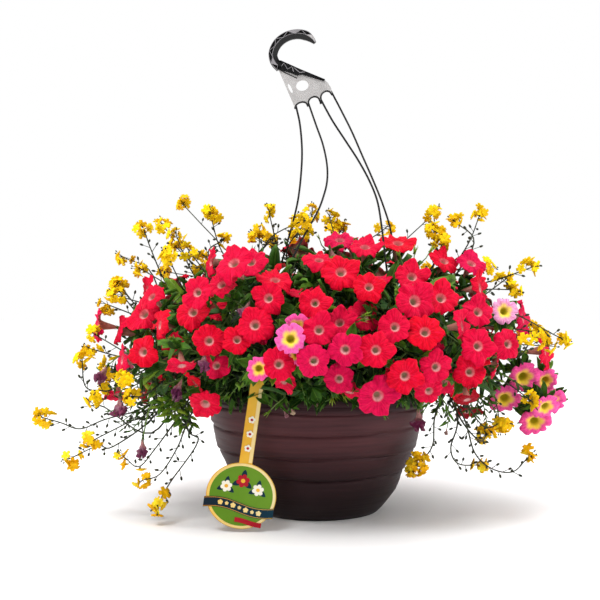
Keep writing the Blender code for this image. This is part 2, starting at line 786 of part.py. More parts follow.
def band(line, low, high):
    """Outline of a strip between two offsets from a line in X and Z."""
    left, right = [], []
    for index, point in enumerate(line):
        run = (line[min(index + 1, len(line) - 1)] - line[max(index - 1, 0)]).normalized()
        side = Vector((-run.z, 0, run.x))
        left.append(point + side * low)
        right.append(point + side * high)
    return [(p.x, p.z) for p in left + list(reversed(right))]


def ellipse(centre, across, up, steps, turn):
    """Outline of an oval."""
    x, z = flat_places([centre])[0]
    points = []
    for k in range(steps):
        angle = math.tau * k / steps
        a, b = across * math.cos(angle), up * math.sin(angle)
        points.append((x + a * math.cos(turn) - b * math.sin(turn),
                       z + a * math.sin(turn) + b * math.cos(turn)))
    return points


def hook_shape():
    """Hook as one deep band."""
    line = [Vector((x, 0, z)) for x, z in flat_places(HOOK_LINE)]
    return extruded(band(line, -HOOK_WIDTH / 2, HOOK_WIDTH / 2), HOOK_DEPTH)


def strand_points(name):
    """Line of one strand from the plate down to its clip."""
    angle = math.radians(CLIP_ANGLES[name])
    radius = STRAND_END[0] * math.cos(math.pi / POT_SIDES)
    end = Vector((radius * math.cos(angle), radius * math.sin(angle), STRAND_END[1]))
    points = []
    for u, v in STRANDS[name]:
        high = seen_at(u, v, 0.0).z
        share = max(0.0, (STRAND_HIGH - high) / (STRAND_HIGH - end.z))
        points.append(seen_at(u, v, end.y * min(share, 1.0) ** STRAND_CURVE))
    return points + [end + UP * CLIP_RISE, end]


def clip_shape(name):
    """Clip that hooks over the rim, a gap away from it."""
    flat = math.cos(math.pi / POT_SIDES)
    shape = extruded([(r * flat, z) for r, z in CLIP_OUTLINE], CLIP_WIDTH)
    return moved(shape, Matrix.Rotation(math.radians(CLIP_ANGLES[name]), 4, "Z"))


def make_hook(material):
    """Hook with the ridge that runs from its foot along the top of the plate."""
    ridge = extruded(flat_places(RIDGE), RIDGE_DEPTH)
    return join("hanger_hook", "UNION", hook_shape(), [ridge], material, "EXACT")


def make_hanger(material):
    """Plate with its holes, four strands and their clips."""
    holes = [extruded(ellipse(*hole), PLATE_CUT) for hole in (PLATE_HOLE, PLATE_SLOT)]
    plate = join("plate", "DIFFERENCE", extruded(flat_places(PLATE), PLATE_DEPTH), holes, material, "EXACT")
    plate_shape = object_shape(plate)
    bpy.data.objects.remove(plate)
    others = []
    for name in STRANDS:
        points = strand_points(name)
        others.append(tube(points, [STRAND_RADIUS] * len(points), STRAND_SIDES))
        others.append(clip_shape(name))
    return join("hanger", "UNION", plate_shape, others, material, "EXACT")


def tag_place():
    """Place and lean of the tag."""
    return Matrix.Translation(TAG_CENTRE) @ Matrix.Rotation(TAG_LEAN, 4, "Y")


def make_tag(material):
    """Card with a disc and a strip that bends over the rim and down into the soil."""
    work = bmesh.new()
    half = STRIP_WIDTH / 2
    start = math.asin(half / TAG_RADIUS)
    angles = [start + (math.tau - 2 * start) * k / DISC_STEPS for k in range(DISC_STEPS + 1)]
    outline = [(TAG_RADIUS * math.sin(angle), TAG_RADIUS * math.cos(angle)) for angle in angles]
    disc = [work.verts.new((x, 0, z)) for x, z in outline]
    top = [work.verts.new((-half, 0, STRIP_TOP)), work.verts.new((half, 0, STRIP_TOP))]
    work.faces.new(disc)
    work.faces.new([disc[-1], top[0], top[1], disc[0]])
    turns = [math.pi * k / BEND_STEPS for k in range(1, BEND_STEPS + 1)]
    bend = [(STRIP_BEND * (1 - math.cos(a)), STRIP_TOP + STRIP_BEND * math.sin(a)) for a in turns]
    for y, z in bend + [(2 * STRIP_BEND, STRIP_END)]:
        pair = [work.verts.new((-half, y, z)), work.verts.new((half, y, z))]
        work.faces.new([top[0], pair[0], pair[1], top[1]])
        top = pair
    bmesh.ops.recalc_face_normals(work, faces=work.faces)
    bmesh.ops.solidify(work, geom=list(work.faces), thickness=TAG_THICK)
    bmesh.ops.triangulate(work, faces=work.faces)
    bmesh.ops.recalc_face_normals(work, faces=work.faces)
    bmesh.ops.transform(work, matrix=tag_place(), verts=work.verts)
    mesh = bpy.data.meshes.new("tag")
    work.to_mesh(mesh)
    work.free()
    mesh.materials.append(material)
    tag = bpy.data.objects.new("tag", mesh)
    bpy.context.scene.collection.objects.link(tag)
    return tag


def tag_slot():
    """Plain slot in the soil round the strip's end."""
    side = STRIP_WIDTH / 2 + SLOT_SIDE
    middle = 2 * STRIP_BEND
    near = TAG_THICK + SLOT_FACE
    slot = box((-side, middle - near, STRIP_END - SLOT_FLOOR), (side, middle + near, STRIP_END + SLOT_ABOVE))
    return moved(slot, tag_place())


def find_foot(feet, place):
    """Free place in the soil near the one wanted."""
    strip = tag_place() @ Vector((0, 2 * STRIP_BEND, STRIP_END))
    for k in range(FOOT_PLACES):
        reach, angle = FOOT_STEP * math.sqrt(k), k * GOLDEN
        x, y = place.x + reach * math.cos(angle), place.y + reach * math.sin(angle)
        if math.hypot(x, y) > FEET_OUT:
            continue
        if abs(x - strip.x) < SLOT_CLEAR[0] and abs(y - strip.y) < SLOT_CLEAR[1]:
            continue
        if all(math.hypot(x - a, y - b) > HOLE_SPACING for a, b in feet):
            feet.append((x, y))
            return Vector((x, y, 0))
    raise ValueError("no room for a stem")


def foot_place(target):
    """Place in the soil below a part of the mound."""
    flat = Vector((target.x - MOUND.x, target.y, 0))
    share = min(flat.length / MOUND_X, 1.0)
    return flat.normalized() * (FOOT_REACH * share ** FOOT_SPREAD) if flat.length > MERGE else flat


def plant_trunk(garden, feet, stem, target):
    """Trunk from the soil, up past the rim, to the ball where it parts."""
    for foot_try in range(FOOT_TRIES):
        shift = Matrix.Rotation(foot_try * GOLDEN, 3, "Z") @ Vector((FOOT_SHIFT * math.sqrt(foot_try), 0, 0))
        foot = find_foot(feet, foot_place(target) + shift)
        for k in range(HUB_TRIES):
            reach, angle = HUB_STEP * math.sqrt(k), k * GOLDEN
            hub = target + Vector((math.cos(angle), math.sin(angle), 0.8 * math.sin(2.3 * k))) * reach
            hub.z = max(hub.z, HUB_LOW)
            ball = ball_shape(hub, HUB_RADIUS, 20)
            neck = Vector((foot.x * NECK_OUT, foot.y * NECK_OUT, NECK))
            face = best_face(ball, [], neck)
            line = [neck, Vector((foot.x, foot.y, FOOT_CLEAR)), Vector((foot.x, foot.y, FOOT_LOW))]
            radii = [NECK_RADIUS, FOOT_RADIUS, FOOT_RADIUS]
            trunk = loft(limb_rings([ball[0][i] for i in face], line, radii))
            garden.start_ball(stem, ball)
            clean = garden.is_clean(stem, trunk, face)
            if clean and garden.is_clear(stem, trunk, rooted=True) and garden.is_clear(stem, ball, 0):
                garden.used[stem].append(face)
                garden.add(stem, trunk)
                garden.placed.append(("ball " + stem, garden.measured(ball), garden.measured(ball)))
                return hub
        feet.pop()
    raise ValueError("no way up for " + stem)


def branch_lines(start, end):
    """Ways for a thin branch between two points, arching over the rim."""
    across = UP.cross(end - start).normalized()
    for lift in BRANCH_LIFTS:
        for sway in BRANCH_SWAYS:
            middle = start.lerp(end, BRANCH_SHARE) + UP * lift + across * sway
            if math.hypot(middle.x, middle.y) < OVER_RIM[0]:
                middle.z = max(middle.z, OVER_RIM[1])
            yield [middle, end]


def bloom_places(point, way):
    """Places and ways for a bloom, the wanted one first."""
    side = way.orthogonal().normalized()
    other = way.cross(side)
    for shift in SHIFTS:
        for k in range(1 if shift == 0 else 6):
            angle = math.tau * k / 6
            base = point + (side * math.cos(angle) + other * math.sin(angle)) * shift
            for push in PUSHES:
                for tilt_a, tilt_b in TILTS:
                    turn = (Matrix.Rotation(math.radians(tilt_a), 3, side)
                            @ Matrix.Rotation(math.radians(tilt_b), 3, other))
                    yield base + way * push, (turn @ way).normalized()


def plant_bloom(garden, stems, hubs, point, way, rings, grown):
    """Bloom on a branch from one of the nearest stems, in the first clear place."""
    stalk = [circle(3, STALK_RADIUS, -BLOOM_SINK * grown)]
    for place, new_way in bloom_places(point, way):
        seat = Matrix.Translation(place) @ frame_along(new_way)
        if not garden.is_clear("", moved(loft(stalk + rings), seat), 0):
            continue
        tail = place - new_way * BLOOM_SINK * grown
        for stem in stems:
            for line in branch_lines(hubs[stem], tail):
                face, start = garden.face_towards(stem, line[0])
                wood = limb_rings(start, line, BRANCH_RADII)
                whole = loft(wood + seated(rings, seat, wood[-1][0]))
                if garden.is_clear(stem, loft(wood)) and garden.is_clean(stem, whole, face):
                    garden.used[stem].append(face)
                    garden.add(stem, whole)
                    return


def facing_of(point, way):
    """Way that a bloom faces."""
    if way in FACINGS:
        return FACINGS[way].normalized()
    return (outward(point) + (EYE - point).normalized() * FACE_THE_VIEW).normalized()


def petunia_blooms(chance):
    """Places, ways and radii of the petunia blooms: the front by hand, the back by rule."""
    blooms = []
    for u, v, width, way in PETUNIAS:
        point = on_mound(u, v)
        radius = width * (point.y - EYE.y) / FOCAL / 2 * SEEN_WIDER
        blooms.append((point, facing_of(point, way), radius))
    for k in range(BACK_TRIES):
        height = 1 - 1.72 * (k + 0.5) / BACK_TRIES
        flat = math.sqrt(1 - height ** 2)
        angle = k * GOLDEN
        upright = MOUND_UP if height > 0 else MOUND_DOWN
        point = MOUND + Vector((MOUND_X * flat * math.cos(angle), MOUND_Y * flat * math.sin(angle),
                                upright * height))
        if point.y < 0.02 or any((point - other[0]).length < BACK_SPACING for other in blooms):
            continue
        way = (outward(point) + Vector((0, 0, 0.15))).normalized()
        blooms.append((point, way, chance.uniform(*BACK_WIDTHS) / 2))
    return blooms


def group_blooms(blooms, count):
    """Share the blooms among stems, each bloom with the nearest of a spread of first blooms."""
    firsts = [0]
    while len(firsts) < count:
        gaps = [min((b[0] - blooms[f][0]).length for f in firsts) for b in blooms]
        firsts.append(gaps.index(max(gaps)))
    groups = [[] for _ in firsts]
    for bloom in blooms:
        gaps = [(bloom[0] - blooms[f][0]).length for f in firsts]
        groups[gaps.index(min(gaps))].append(bloom)
    return groups


def hub_for(points):
    """Point inside the mound where the branches to some blooms part."""
    middle = sum(points, Vector()) / len(points)
    return Vector((MOUND.x, 0, BLOOM_CORE)).lerp(middle, HUB_SHARE)


def crowned_stem(start, line, radii, seats):
    """Stem from three corners that ends in a ball, with a floret grown from its faces at each seat."""
    wood = limb_rings(start, line, radii)
    tip = line[-1]
    behind = line[-2] if len(line) > 1 else sum(start, Vector()) / 3
    run = (tip - behind).normalized()
    seat = Matrix.Translation(tip + run * HEAD_RADIUS) @ frame_along(run)
    ball = moved(ball_shape(Vector(), HEAD_RADIUS, 8), seat)
    entry = best_face(ball, [], behind)
    used = [entry]
    back = [ball[0][i] for i in reversed(entry)]
    first = wood[-1][0]
    shift = min(range(3), key=lambda k: (back[k] - first).length)
    wood[-1] = back[shift:] + back[:shift]
    verts, faces = loft(wood)
    faces = faces[:-1]
    grown = [(verts, faces)]
    for seat in seats:
        face = best_face(ball, used, seat @ (UP * FLORET_OUT))
        used.append(face)
        grown.append(floret_on([ball[0][i] for i in face], seat))
    rest = [f for f in ball[1] if f not in used]
    grown.append((ball[0], rest))
    all_verts, all_faces = [], []
    for v, f in grown:
        base = len(all_verts)
        all_verts += v
        all_faces += [tuple(i + base for i in face) for face in f]
    return all_verts, all_faces


def spread_ways(run, count):
    """Directions of a head's florets: one straight on and the others evenly round it."""
    side = run.orthogonal().normalized()
    other = run.cross(side)
    ways = [run]
    for k in range(count - 1):
        angle = math.tau * k / (count - 1)
        outwards = side * math.cos(angle) + other * math.sin(angle)
        ways.append(run * math.cos(FLORET_LEAN) + outwards * math.sin(FLORET_LEAN))
    return ways


def floret_on(start, seat):
    """Floret grown from three corners."""
    return loft([list(start)] + seated(floret_rings(FLORET_RADIUS), seat, start[0]))


def jitter(chance, x, y, z):
    """Random shift within a limit each way."""
    return Vector([chance.uniform(-limit, limit) for limit in (x, y, z)])


def plant_head(garden, chance, stems, hubs, route, florets):
    """Thin stem along a route, ending in a head of florets."""
    count = min(4, max(2, round(florets * 0.6)))
    for attempt in range(HEAD_TRIES):
        stem = stems[attempt % len(stems)] if attempt > HEAD_TRIES // 3 else stems[0]
        near, wide = (attempt * step for step in HEAD_SHIFT)
        head = route[-1] + jitter(chance, near, wide, near)
        line = [p + jitter(chance, near, near, near) for p in route[:-1]] + [head]
        if len(route) == 1:
            sway = jitter(chance, wide, wide, wide)
            line = [hubs[stem].lerp(head, 0.5) + UP * 0.006 + sway] + line
        run = (line[-1] - line[-2]).normalized()
        seats = [Matrix.Translation(head + way * FLORET_OUT) @ frame_along(way)
                 for way in spread_ways(run, count)]
        face, start = garden.face_towards(stem, line[0])
        radii = [HEAD_RADII[0]] + [HEAD_RADII[1]] * (len(line) - 1)
        shape = crowned_stem(start, line, radii, seats)
        if garden.is_clear(stem, shape) and garden.is_clean(stem, shape, face):
            garden.used[stem].append(face)
            garden.add(stem, shape)
            return


def leaf_seat(base, way, normal):
    """Seat whose Z runs along a leaf and whose X is its upper side."""
    z = way.normalized()
    x = (normal - z * normal.dot(z)).normalized()
    return Matrix.Translation(base) @ Matrix((x, z.cross(x), z)).transposed().to_4x4()


def plant_leaf(garden, chance, stem, hub, point, way, size):
    """One leaf on a stalk from the fork, if there is room for it."""
    for _ in range(LEAF_PLACES):
        aim = (way + jitter(chance, 0.6, 0.6, 0.6)).normalized()
        normal = UP + way * 0.5 + jitter(chance, 0.3, 0.3, 0.3)
        tip = point + jitter(chance, 0.008, 0.008, 0.008)
        base = tip - aim * size
        face, start = garden.face_towards(stem, base)
        if face is None:
            return False
        middle = hub.lerp(base, 0.5) + UP * 0.008
        wood = limb_rings(start, [middle, base], HEAD_RADII)
        seat = leaf_seat(base, aim, normal)
        rings = [[seat @ p for p in ring] for ring in leaf_rings(size)]
        local = [seat.inverted() @ p for p in wood[-1]]
        turn = min(range(3), key=lambda k: abs(math.atan2(local[k].y, local[k].x)))
        wood[-1] = wood[-1][turn:] + wood[-1][:turn]
        wood[:-1] = [ring[turn:] + ring[:turn] for ring in wood[:-1]]
        shape = loft(wood + rings)
        if garden.is_clear(stem, shape) and garden.is_clean(stem, shape, face):
            garden.used[stem].append(face)
            garden.add(stem, shape)
            return True
    return False


def plant_all(garden):
    """Every stem of the basket, in a set order, with the feet in the soil."""
    chance = random.Random(SEED)
    feet = []
    jobs = []
    for index, group in enumerate(group_blooms(petunia_blooms(chance), PETUNIA_STEMS)):
        jobs.append(("petunia_%02d" % (index + 1), group, petunia_rings, 1.0))
    for stem, places in CALIBRACHOAS.items():
        group = [(on_mound(u, v), width) for u, v, width in places]
        group = [(p, facing_of(p, "out"), w * (p.y - EYE.y) / FOCAL / 2 * SEEN_WIDER) for p, w in group]
        jobs.append((stem, group, calibrachoa_rings, BELL_SINK))
    for stem, places in CALIBRACHOAS_BACK.items():
        group = [(Vector(p), outward(Vector(p)), BELL_BACK_RADIUS) for p in places]
        jobs.append((stem, group, calibrachoa_rings, BELL_SINK))
    hubs = {}
    for stem, group, _, _ in jobs:
        hubs[stem] = plant_trunk(garden, feet, stem, hub_for([b[0] for b in group]))
    core = Vector((MOUND.x, 0, SPRAY_CORE))
    for stem, (depth, fork, _) in SPRAYS.items():
        hubs[stem] = plant_trunk(garden, feet, stem, core.lerp(seen_at(*fork, depth), SPRAY_SHARE))
    for stem, group, rings, grown in jobs:
        for point, way, radius in group:
            plant_bloom(garden, nearest(hubs, stem, point), hubs, point, way, rings(radius), grown)
    for stem, (depth, _, heads) in SPRAYS.items():
        for head in heads:
            u, v, florets = head[:3]
            route = [seen_at(*place, depth) for place in reversed(head[3:])] + [head_place(u, v, depth)]
            plant_head(garden, chance, nearest(hubs, stem, route[-1]), hubs, route, florets)
    back_heads(garden, chance, feet, hubs)
    plant_leaves(garden, chance, {stem: hubs[stem] for stem, _, _, _ in jobs})
    return feet


def nearest(hubs, stem, point):
    """A stem and the four others of its kind that part nearest to a point."""
    kin = [other for other in hubs if other[:3] == stem[:3] and other != stem]
    return [stem] + sorted(kin, key=lambda other: (hubs[other] - point).length)[:4]


def head_place(u, v, depth):
    """Place of a head: at its spray's depth, or just proud of the mound where that would be inside it."""
    point = seen_at(u, v, depth)
    if mound_part(point).length < 1.06:
        point = on_mound(u, v)
        point += outward(point) * HEAD_PROUD
    return point


def back_heads(garden, chance, feet, hubs):
    """Nemesia sprays round the back, by rule."""
    for index in range(BACK_SPRAYS):
        stem = "nemesia_back_%d" % (index + 1)
        angle = math.radians(22 + 136 * (index + 0.5) / BACK_SPRAYS)
        reach = Vector((math.cos(angle) * MOUND_X, math.sin(angle) * MOUND_Y, 0))
        fork = plant_trunk(garden, feet, stem, Vector((0, 0, 0.235)) + reach * 0.5)
        hubs[stem] = fork
        for k in range(BACK_HEADS):
            turn = Matrix.Rotation(math.radians(11 * (k - 1.5)), 4, "Z")
            head = turn @ (reach * (1.16 - 0.12 * k)) + Vector((0, 0, 0.255 + 0.075 * k))
            plant_head(garden, chance, [stem], hubs, [head], BACK_FLORETS)


def plant_leaves(garden, chance, hubs):
    """Leaves that fill the mound's surface: the clusters seen in front, then by rule all round."""
    wanted = [(on_mound(u, v), size) for u, v, size in LEAF_TIPS]
    for k in range(LEAF_TRIES):
        height = 1 - 1.8 * (k + 0.5) / LEAF_TRIES
        flat, angle = math.sqrt(1 - height ** 2), (k + 0.5) * GOLDEN
        upright = MOUND_UP if height > 0 else MOUND_DOWN
        spot = Vector((MOUND_X * flat * math.cos(angle), MOUND_Y * flat * math.sin(angle), upright * height))
        wanted.append((MOUND + spot * 0.985, chance.uniform(*LEAF_LENGTH)))
    leaves = 0
    for point, size in wanted:
        if leaves == LEAVES_WANTED:
            break
        way = outward(point)
        for stem in sorted(hubs, key=lambda name: (hubs[name] - point).length)[:2]:
            if plant_leaf(garden, chance, stem, hubs[stem], point, way, size):
                leaves += 1
                break


def grown_object(garden, stem, material):
    """One closed mesh: a stem's ball and the limbs grown from its faces."""
    verts, faces = [], []
    ball_verts, ball_faces = garden.balls[stem]
    rest = [f for f in ball_faces if f not in garden.used[stem]]
    for shape in garden.shapes[stem] + [(ball_verts, rest)]:
        base = len(verts)
        verts += shape[0]
        faces += [tuple(i + base for i in face) for face in shape[1]]
    piece = add_object(stem, verts, faces, material)
    work = bmesh.new()
    work.from_mesh(piece.data)
    bmesh.ops.remove_doubles(work, verts=work.verts, dist=MERGE)
    loose = [v for v in work.verts if not v.link_faces]
    bmesh.ops.delete(work, geom=loose, context="VERTS")
    work.to_mesh(piece.data)
    work.free()
    return piece


def object_shape(piece):
    """Corners and triangles of an object."""
    mesh = evaluated_mesh(piece)
    return [v.co.copy() for v in mesh.vertices], [tuple(p.vertices) for p in mesh.polygons]


def main():
    for piece in list(bpy.data.objects):
        bpy.data.objects.remove(piece)
    black = principled("hook_plastic", (0.020, 0.020, 0.022), 0.34)
    grey = principled("hanger_plastic", (0.035, 0.036, 0.040), 0.38)
    brown = principled("pot_plastic", (0.050, 0.026, 0.020), 0.36)
    earth = principled("soil_peat", (0.045, 0.028, 0.018), 0.95)
    card = principled("tag_card", (0.80, 0.52, 0.12), 0.42)
    red = principled("petunia_red", (0.80, 0.020, 0.055), 0.55)
    yellow = principled("nemesia_yellow", (0.90, 0.50, 0.02), 0.55)
    pink = principled("calibrachoa_pink", (0.80, 0.16, 0.32), 0.55)
    garden = Garden()
    pot = make_pot(brown)
    hook = make_hook(black)
    hanger = make_hanger(grey)
    tag = make_tag(card)
    for piece in (pot, hook, hanger, tag):
        garden.obstacle(object_shape(piece))
    feet = plant_all(garden)
    for stem in garden.shapes:
        material = red
        if stem.startswith("nemesia"):
            material = yellow
        elif stem.startswith("calibrachoa"):
            material = pink
        grown_object(garden, stem, material)
    make_soil(feet, tag_slot(), earth)


if __name__ == "__main__":
    main()
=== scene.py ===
# Flowering hanging basket on a pale studio floor: the finished petals, leaves, stems, pot, hanger and tag
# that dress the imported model. Metres, +Z up, origin under the pot.
import math
import random

import bmesh
import bpy
import numpy as np
from mathutils import Matrix, Vector, noise


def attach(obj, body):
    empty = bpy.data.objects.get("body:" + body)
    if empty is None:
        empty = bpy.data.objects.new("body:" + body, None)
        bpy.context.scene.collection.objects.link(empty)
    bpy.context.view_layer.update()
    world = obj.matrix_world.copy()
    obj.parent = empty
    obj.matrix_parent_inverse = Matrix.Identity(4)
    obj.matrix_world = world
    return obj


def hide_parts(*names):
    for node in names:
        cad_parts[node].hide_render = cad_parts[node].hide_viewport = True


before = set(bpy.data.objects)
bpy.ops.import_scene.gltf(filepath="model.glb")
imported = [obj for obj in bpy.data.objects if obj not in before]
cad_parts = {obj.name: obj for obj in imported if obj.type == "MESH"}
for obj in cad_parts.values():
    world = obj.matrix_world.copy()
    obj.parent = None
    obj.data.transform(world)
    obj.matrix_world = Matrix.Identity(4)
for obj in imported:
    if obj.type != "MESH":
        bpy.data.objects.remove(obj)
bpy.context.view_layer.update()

SEED = 7
UP = Vector((0, 0, 1))
GOLDEN = math.pi * (3 - math.sqrt(5))
MERGE = 0.00002
DOUBLES = 0.000001
BACK_SHIFT = 4.0
chance = random.Random(SEED)
between = chance.uniform

# View: level, along +Y, in pixels of a 600 by 600 picture
EYE = Vector((-0.023, -1.41, 0.291))
PICTURE = 600.0
FOCAL = 1007.0
FILM = 36.0
WORLD_LIGHT = 0.42
FLOOR_LIGHT = 2.3

# Soft lights: place, what they are aimed at, size and power
LIGHTS = (
    ("key", (-0.9, -1.5, 2.3), (0, 0, 0.22), 0.7, 32),
    ("side", (-1.5, -0.15, 0.6), (-0.3, 0, 0.05), 0.8, 8.0),
    ("side", (1.5, -0.15, 0.6), (0.3, 0, 0.05), 0.8, 8.0),
    ("fill", (1.8, -1.4, 1.0), (0, 0, 0.22), 1.6, 9),
    ("back", (0.5, 2.0, 1.8), (0, 0, 0.22), 1.5, 10),
)
FLOOR_SIZE = 12

# Mound of flowers, and the least reach that tells a bloom's middle from a fork
MOUND = Vector((0.006, 0.0, 0.215))
MOUND_SIZE = Vector((0.285, 0.265, 0.160))
MOUND_BELOW = 0.095
LEAST_REACH = 0.0055
FAN_REACH = 0.0075

# Packed plants: corners round a bloom's throat and a leaf's tip, and how near a head's and a foot's lie
BLOOM_RING = 10
LEAF_RING = 4
THROAT_BACK = 0.008
HEAD_NEAR = 0.0085
BALL_NEAR = 0.0052
FOOT_HIGH = 0.0001
FOOT_OUT = 0.14

# Pot profile as radius and height: outside from the underside up, then inside from the rim down
POT_STEPS = 128
POT_TOP = 0.165
POT_OUTSIDE = [
    (0.0830, 0.0000), (0.0860, 0.0006), (0.0925, 0.0070), (0.1018, 0.0185), (0.1110, 0.0310),
    (0.1160, 0.0430), (0.1196, 0.0545), (0.1201, 0.0568), (0.1215, 0.0590), (0.1262, 0.0660),
    (0.1318, 0.0762), (0.1362, 0.0850), (0.1366, 0.0872), (0.1380, 0.0900), (0.1408, 0.0990),
    (0.1428, 0.1100), (0.1448, 0.1210), (0.1451, 0.1232), (0.1466, 0.1260), (0.1480, 0.1340),
    (0.1490, 0.1440), (0.1498, 0.1540), (0.1500, 0.1562), (0.1516, 0.1566), (0.1524, 0.1574),
    (0.1525, 0.1590), (0.1525, 0.1636), (0.1521, 0.1646), (0.1512, 0.1650),
]
POT_INSIDE = [
    (0.1496, 0.1650), (0.1490, 0.1642), (0.1478, 0.1562), (0.1422, 0.1210), (0.1338, 0.0860),
    (0.1172, 0.0560), (0.0900, 0.0090), (0.0810, 0.0024),
]
POT_FLOOR = 0.0024

# Space kept clear of plants: how high above the rim, and how far from the axis
RIM_ABOVE = 0.004
RIM_CLEAR = 0.157

# Colours of the pot up its height: the body, with painted shade that makes it nearly black near the base and
# darker just under the rim, and the painted sheen of its bands
POT_BODY_PAINTED_SHADE = (
    (0.0, (0.0008, 0.0004, 0.0006)), (0.30, (0.0030, 0.0010, 0.0014)), (0.52, (0.0110, 0.0036, 0.0044)),
    (0.78, (0.0260, 0.0085, 0.0100)), (0.87, (0.0240, 0.0080, 0.0095)), (0.91, (0.0080, 0.0030, 0.0036)),
    (1.0, (0.0060, 0.0024, 0.0030)),
)
POT_PAINTED_SHEEN = (
    (0.0, (0.002, 0.001, 0.001)), (0.35, (0.014, 0.0040, 0.0050)), (0.60, (0.062, 0.018, 0.020)),
    (0.87, (0.074, 0.024, 0.027)), (0.91, (0.024, 0.008, 0.010)), (1.0, (0.016, 0.006, 0.008)),
)

# Bands of the pot's wall: the heights and the radius from which they run, their grooves and the lips above
BANDS_FROM = 0.04
BANDS_TO = 0.154
BANDS_OUT = 0.10
BAND_LINES = (0.147, 0.1190, 0.0872, 0.0585)
GROOVE_DEPTH = 0.0019
GROOVE_HEIGHT = 0.0017
LIP = 0.0009
PROFILE_STEP = 0.0015

# Drain holes, and the soil
DRAIN_COUNT = 6
DRAIN_RADIUS = 0.005
DRAIN_CIRCLE = 0.056
SOIL_TOP = 0.146
SOIL_RADIUS = 0.1450
SOIL_RINGS = 36

# Hanger, read in the view at the depth of the pot's axis
HOOK_LINE = [
    (315, 43), (311.5, 39.5), (306, 36), (298, 34.5), (289, 36), (281, 40.5), (275.5, 47), (273, 55),
    (275, 62), (280, 67.5),
]
HOOK_WIDTH = 0.0125
HOOK_DEPTH = 0.010
HOOK_STEPS = 3
# How far back from the hook's tip the cells take the grey plastic as a painted highlight
HOOK_TIP_HIGHLIGHT = 0.008
HOOK_CELL = 4
RIDGE = [
    (272, 61), (281, 61), (300, 69.5), (325, 79.8), (324, 81.5), (302, 75), (297, 76), (291, 73.5), (278, 70),
]
RIB = [(275.5, 67), (284, 72.5), (297, 78.5)]
RIDGE_RIBS = ([(277, 62.5), (281.5, 66.5), (284, 63.5), (287.5, 69.5), (292, 67), (293.5, 72)],
              [(294, 68), (300, 73), (305, 72)])
GUSSETS = ([(280, 66), (285, 71)], [(297, 76), (300, 71)])
ARCHES = (
    [(295.4, 109), (295.6, 105.6), (298.4, 102.9), (302.8, 101.8), (306.3, 102.9), (308.3, 106.5)],
    [(308.3, 105.5), (308.3, 101.2), (310.5, 97.9), (314.3, 96.5), (318.1, 97.5), (320.2, 101), (321, 104)],
    [(320.7, 99.6), (320.7, 95.9), (322.6, 92.7), (326.4, 90.9), (329.8, 91.7), (332.4, 95)],
)
PLATE_TOP = [(277, 66), (284, 70), (324, 79.5), (328, 83), (331, 88)]
PLATE_DEPTH = 0.0026
PLATE_HOLES = (
    ((302.3, 85.6), 0.0088, 0.0074, math.radians(14)), ((290.2, 88.3), 0.0020, 0.0074, math.radians(24)),
)
HOLE_STEPS = 28
STRAND_RADIUS = 0.0014
ARCH_RADIUS = 0.0016
STRAND_HIGH = 0.564
STRAND_CURVE = 1.15
STRAND_END = (0.1510, 0.1685)
CLIP_RISE = 0.012
CLIP_WIDTH = 0.008
CLIP_ANGLES = {"back_left": 135, "front_left": 225, "front_right": 315, "back_right": 45}
CLIP_OUTLINE = [
    (0.1528, 0.1558), (0.1506, 0.1558), (0.1514, 0.1532), (0.1552, 0.1532), (0.1552, 0.1710),
    (0.1455, 0.1710), (0.1455, 0.1585), (0.1478, 0.1585), (0.1478, 0.1653), (0.1528, 0.1653),
]
POT_FLAT = math.cos(math.pi / 32)
STRANDS = {
    "back_left": [
        (296, 106), (300, 125), (302, 150), (301, 175), (298, 200), (293, 222), (288, 240), (280, 268),
        (267, 305), (254, 345)],
    "front_left": [
        (308, 102), (316, 125), (323, 145), (327, 165), (327, 182), (323, 198), (317, 213), (304, 236),
        (284, 275), (260, 325), (243, 365)],
    "front_right": [
        (320, 98), (332, 120), (345, 140), (358, 160), (369, 180), (377, 200), (381, 222), (385, 255),
        (390, 295), (397, 345)],
    "back_right": [
        (331, 91), (342, 112), (352, 132), (362, 155), (373, 180), (383, 205), (391, 232), (394, 265),
        (393, 305), (390, 345)],
}

# Plastics of the hanger: colour, roughness and shine; the glint plastic is a lighter painted glint on the
# hook's rib tops, some cells and the ridge's ribs, and the grey plastic of the plate is also a painted
# highlight on the hook's tip
PLASTICS = (
    ("hanger_black", (0.003, 0.003, 0.0035), 0.30, 0.25),
    ("hanger_painted_glint", (0.20, 0.19, 0.20), 0.25, 0.8),
    ("hanger_grey_and_tip_highlight", (0.36, 0.35, 0.345), 0.40, 0.4),
)
RIDGE_RIB_RADIUS = 0.0006
RIB_RADIUS = 0.0007

# Tag: a card with a disc and a strip that bends over the rim
TAG_CENTRE = Vector((-0.0968, -0.150, 0.0460))
TAG_LEAN = math.radians(8.2)
TAG_THICK = 0.0008
TAG_RADIUS = 0.0440
TAG_BORDER = 0.0042
DISC_SQUASH = 0.94
STRIP_WIDTH = 0.0165
STRIP_TOP = 0.136
STRIP_BEND = 0.023
STRIP_END = 0.085
INK = 0.00012
STRIP_BLOSSOMS = (0.060, 0.078, 0.096)
TAG_BLOSSOMS = ((-0.020, 0.010, 0.0075), (0.000, 0.019, 0.0085), (0.020, 0.010, 0.0075))
TAG_STEPS = 90
STRIP_FRONT = -0.10
BEND_STEPS = 20
RIBBON = (-0.0195, -0.0065, 0.006)
RIBBON_STARS = 7

# Inks of the tag: the two colours between which each one runs
INKS = (
    ("tag_gold", (0.70, 0.30, 0.008), (0.80, 0.50, 0.060)),
    ("tag_cream", (0.78, 0.50, 0.10), (0.84, 0.70, 0.36)),
    ("tag_green", (0.090, 0.21, 0.008), (0.13, 0.27, 0.018)),
    ("tag_blue", (0.0005, 0.010, 0.022), (0.0015, 0.028, 0.050)),
    ("tag_red", (0.42, 0.006, 0.016), (0.34, 0.008, 0.018)),
    ("tag_white", (0.80, 0.76, 0.62), (0.84, 0.80, 0.70)),
)

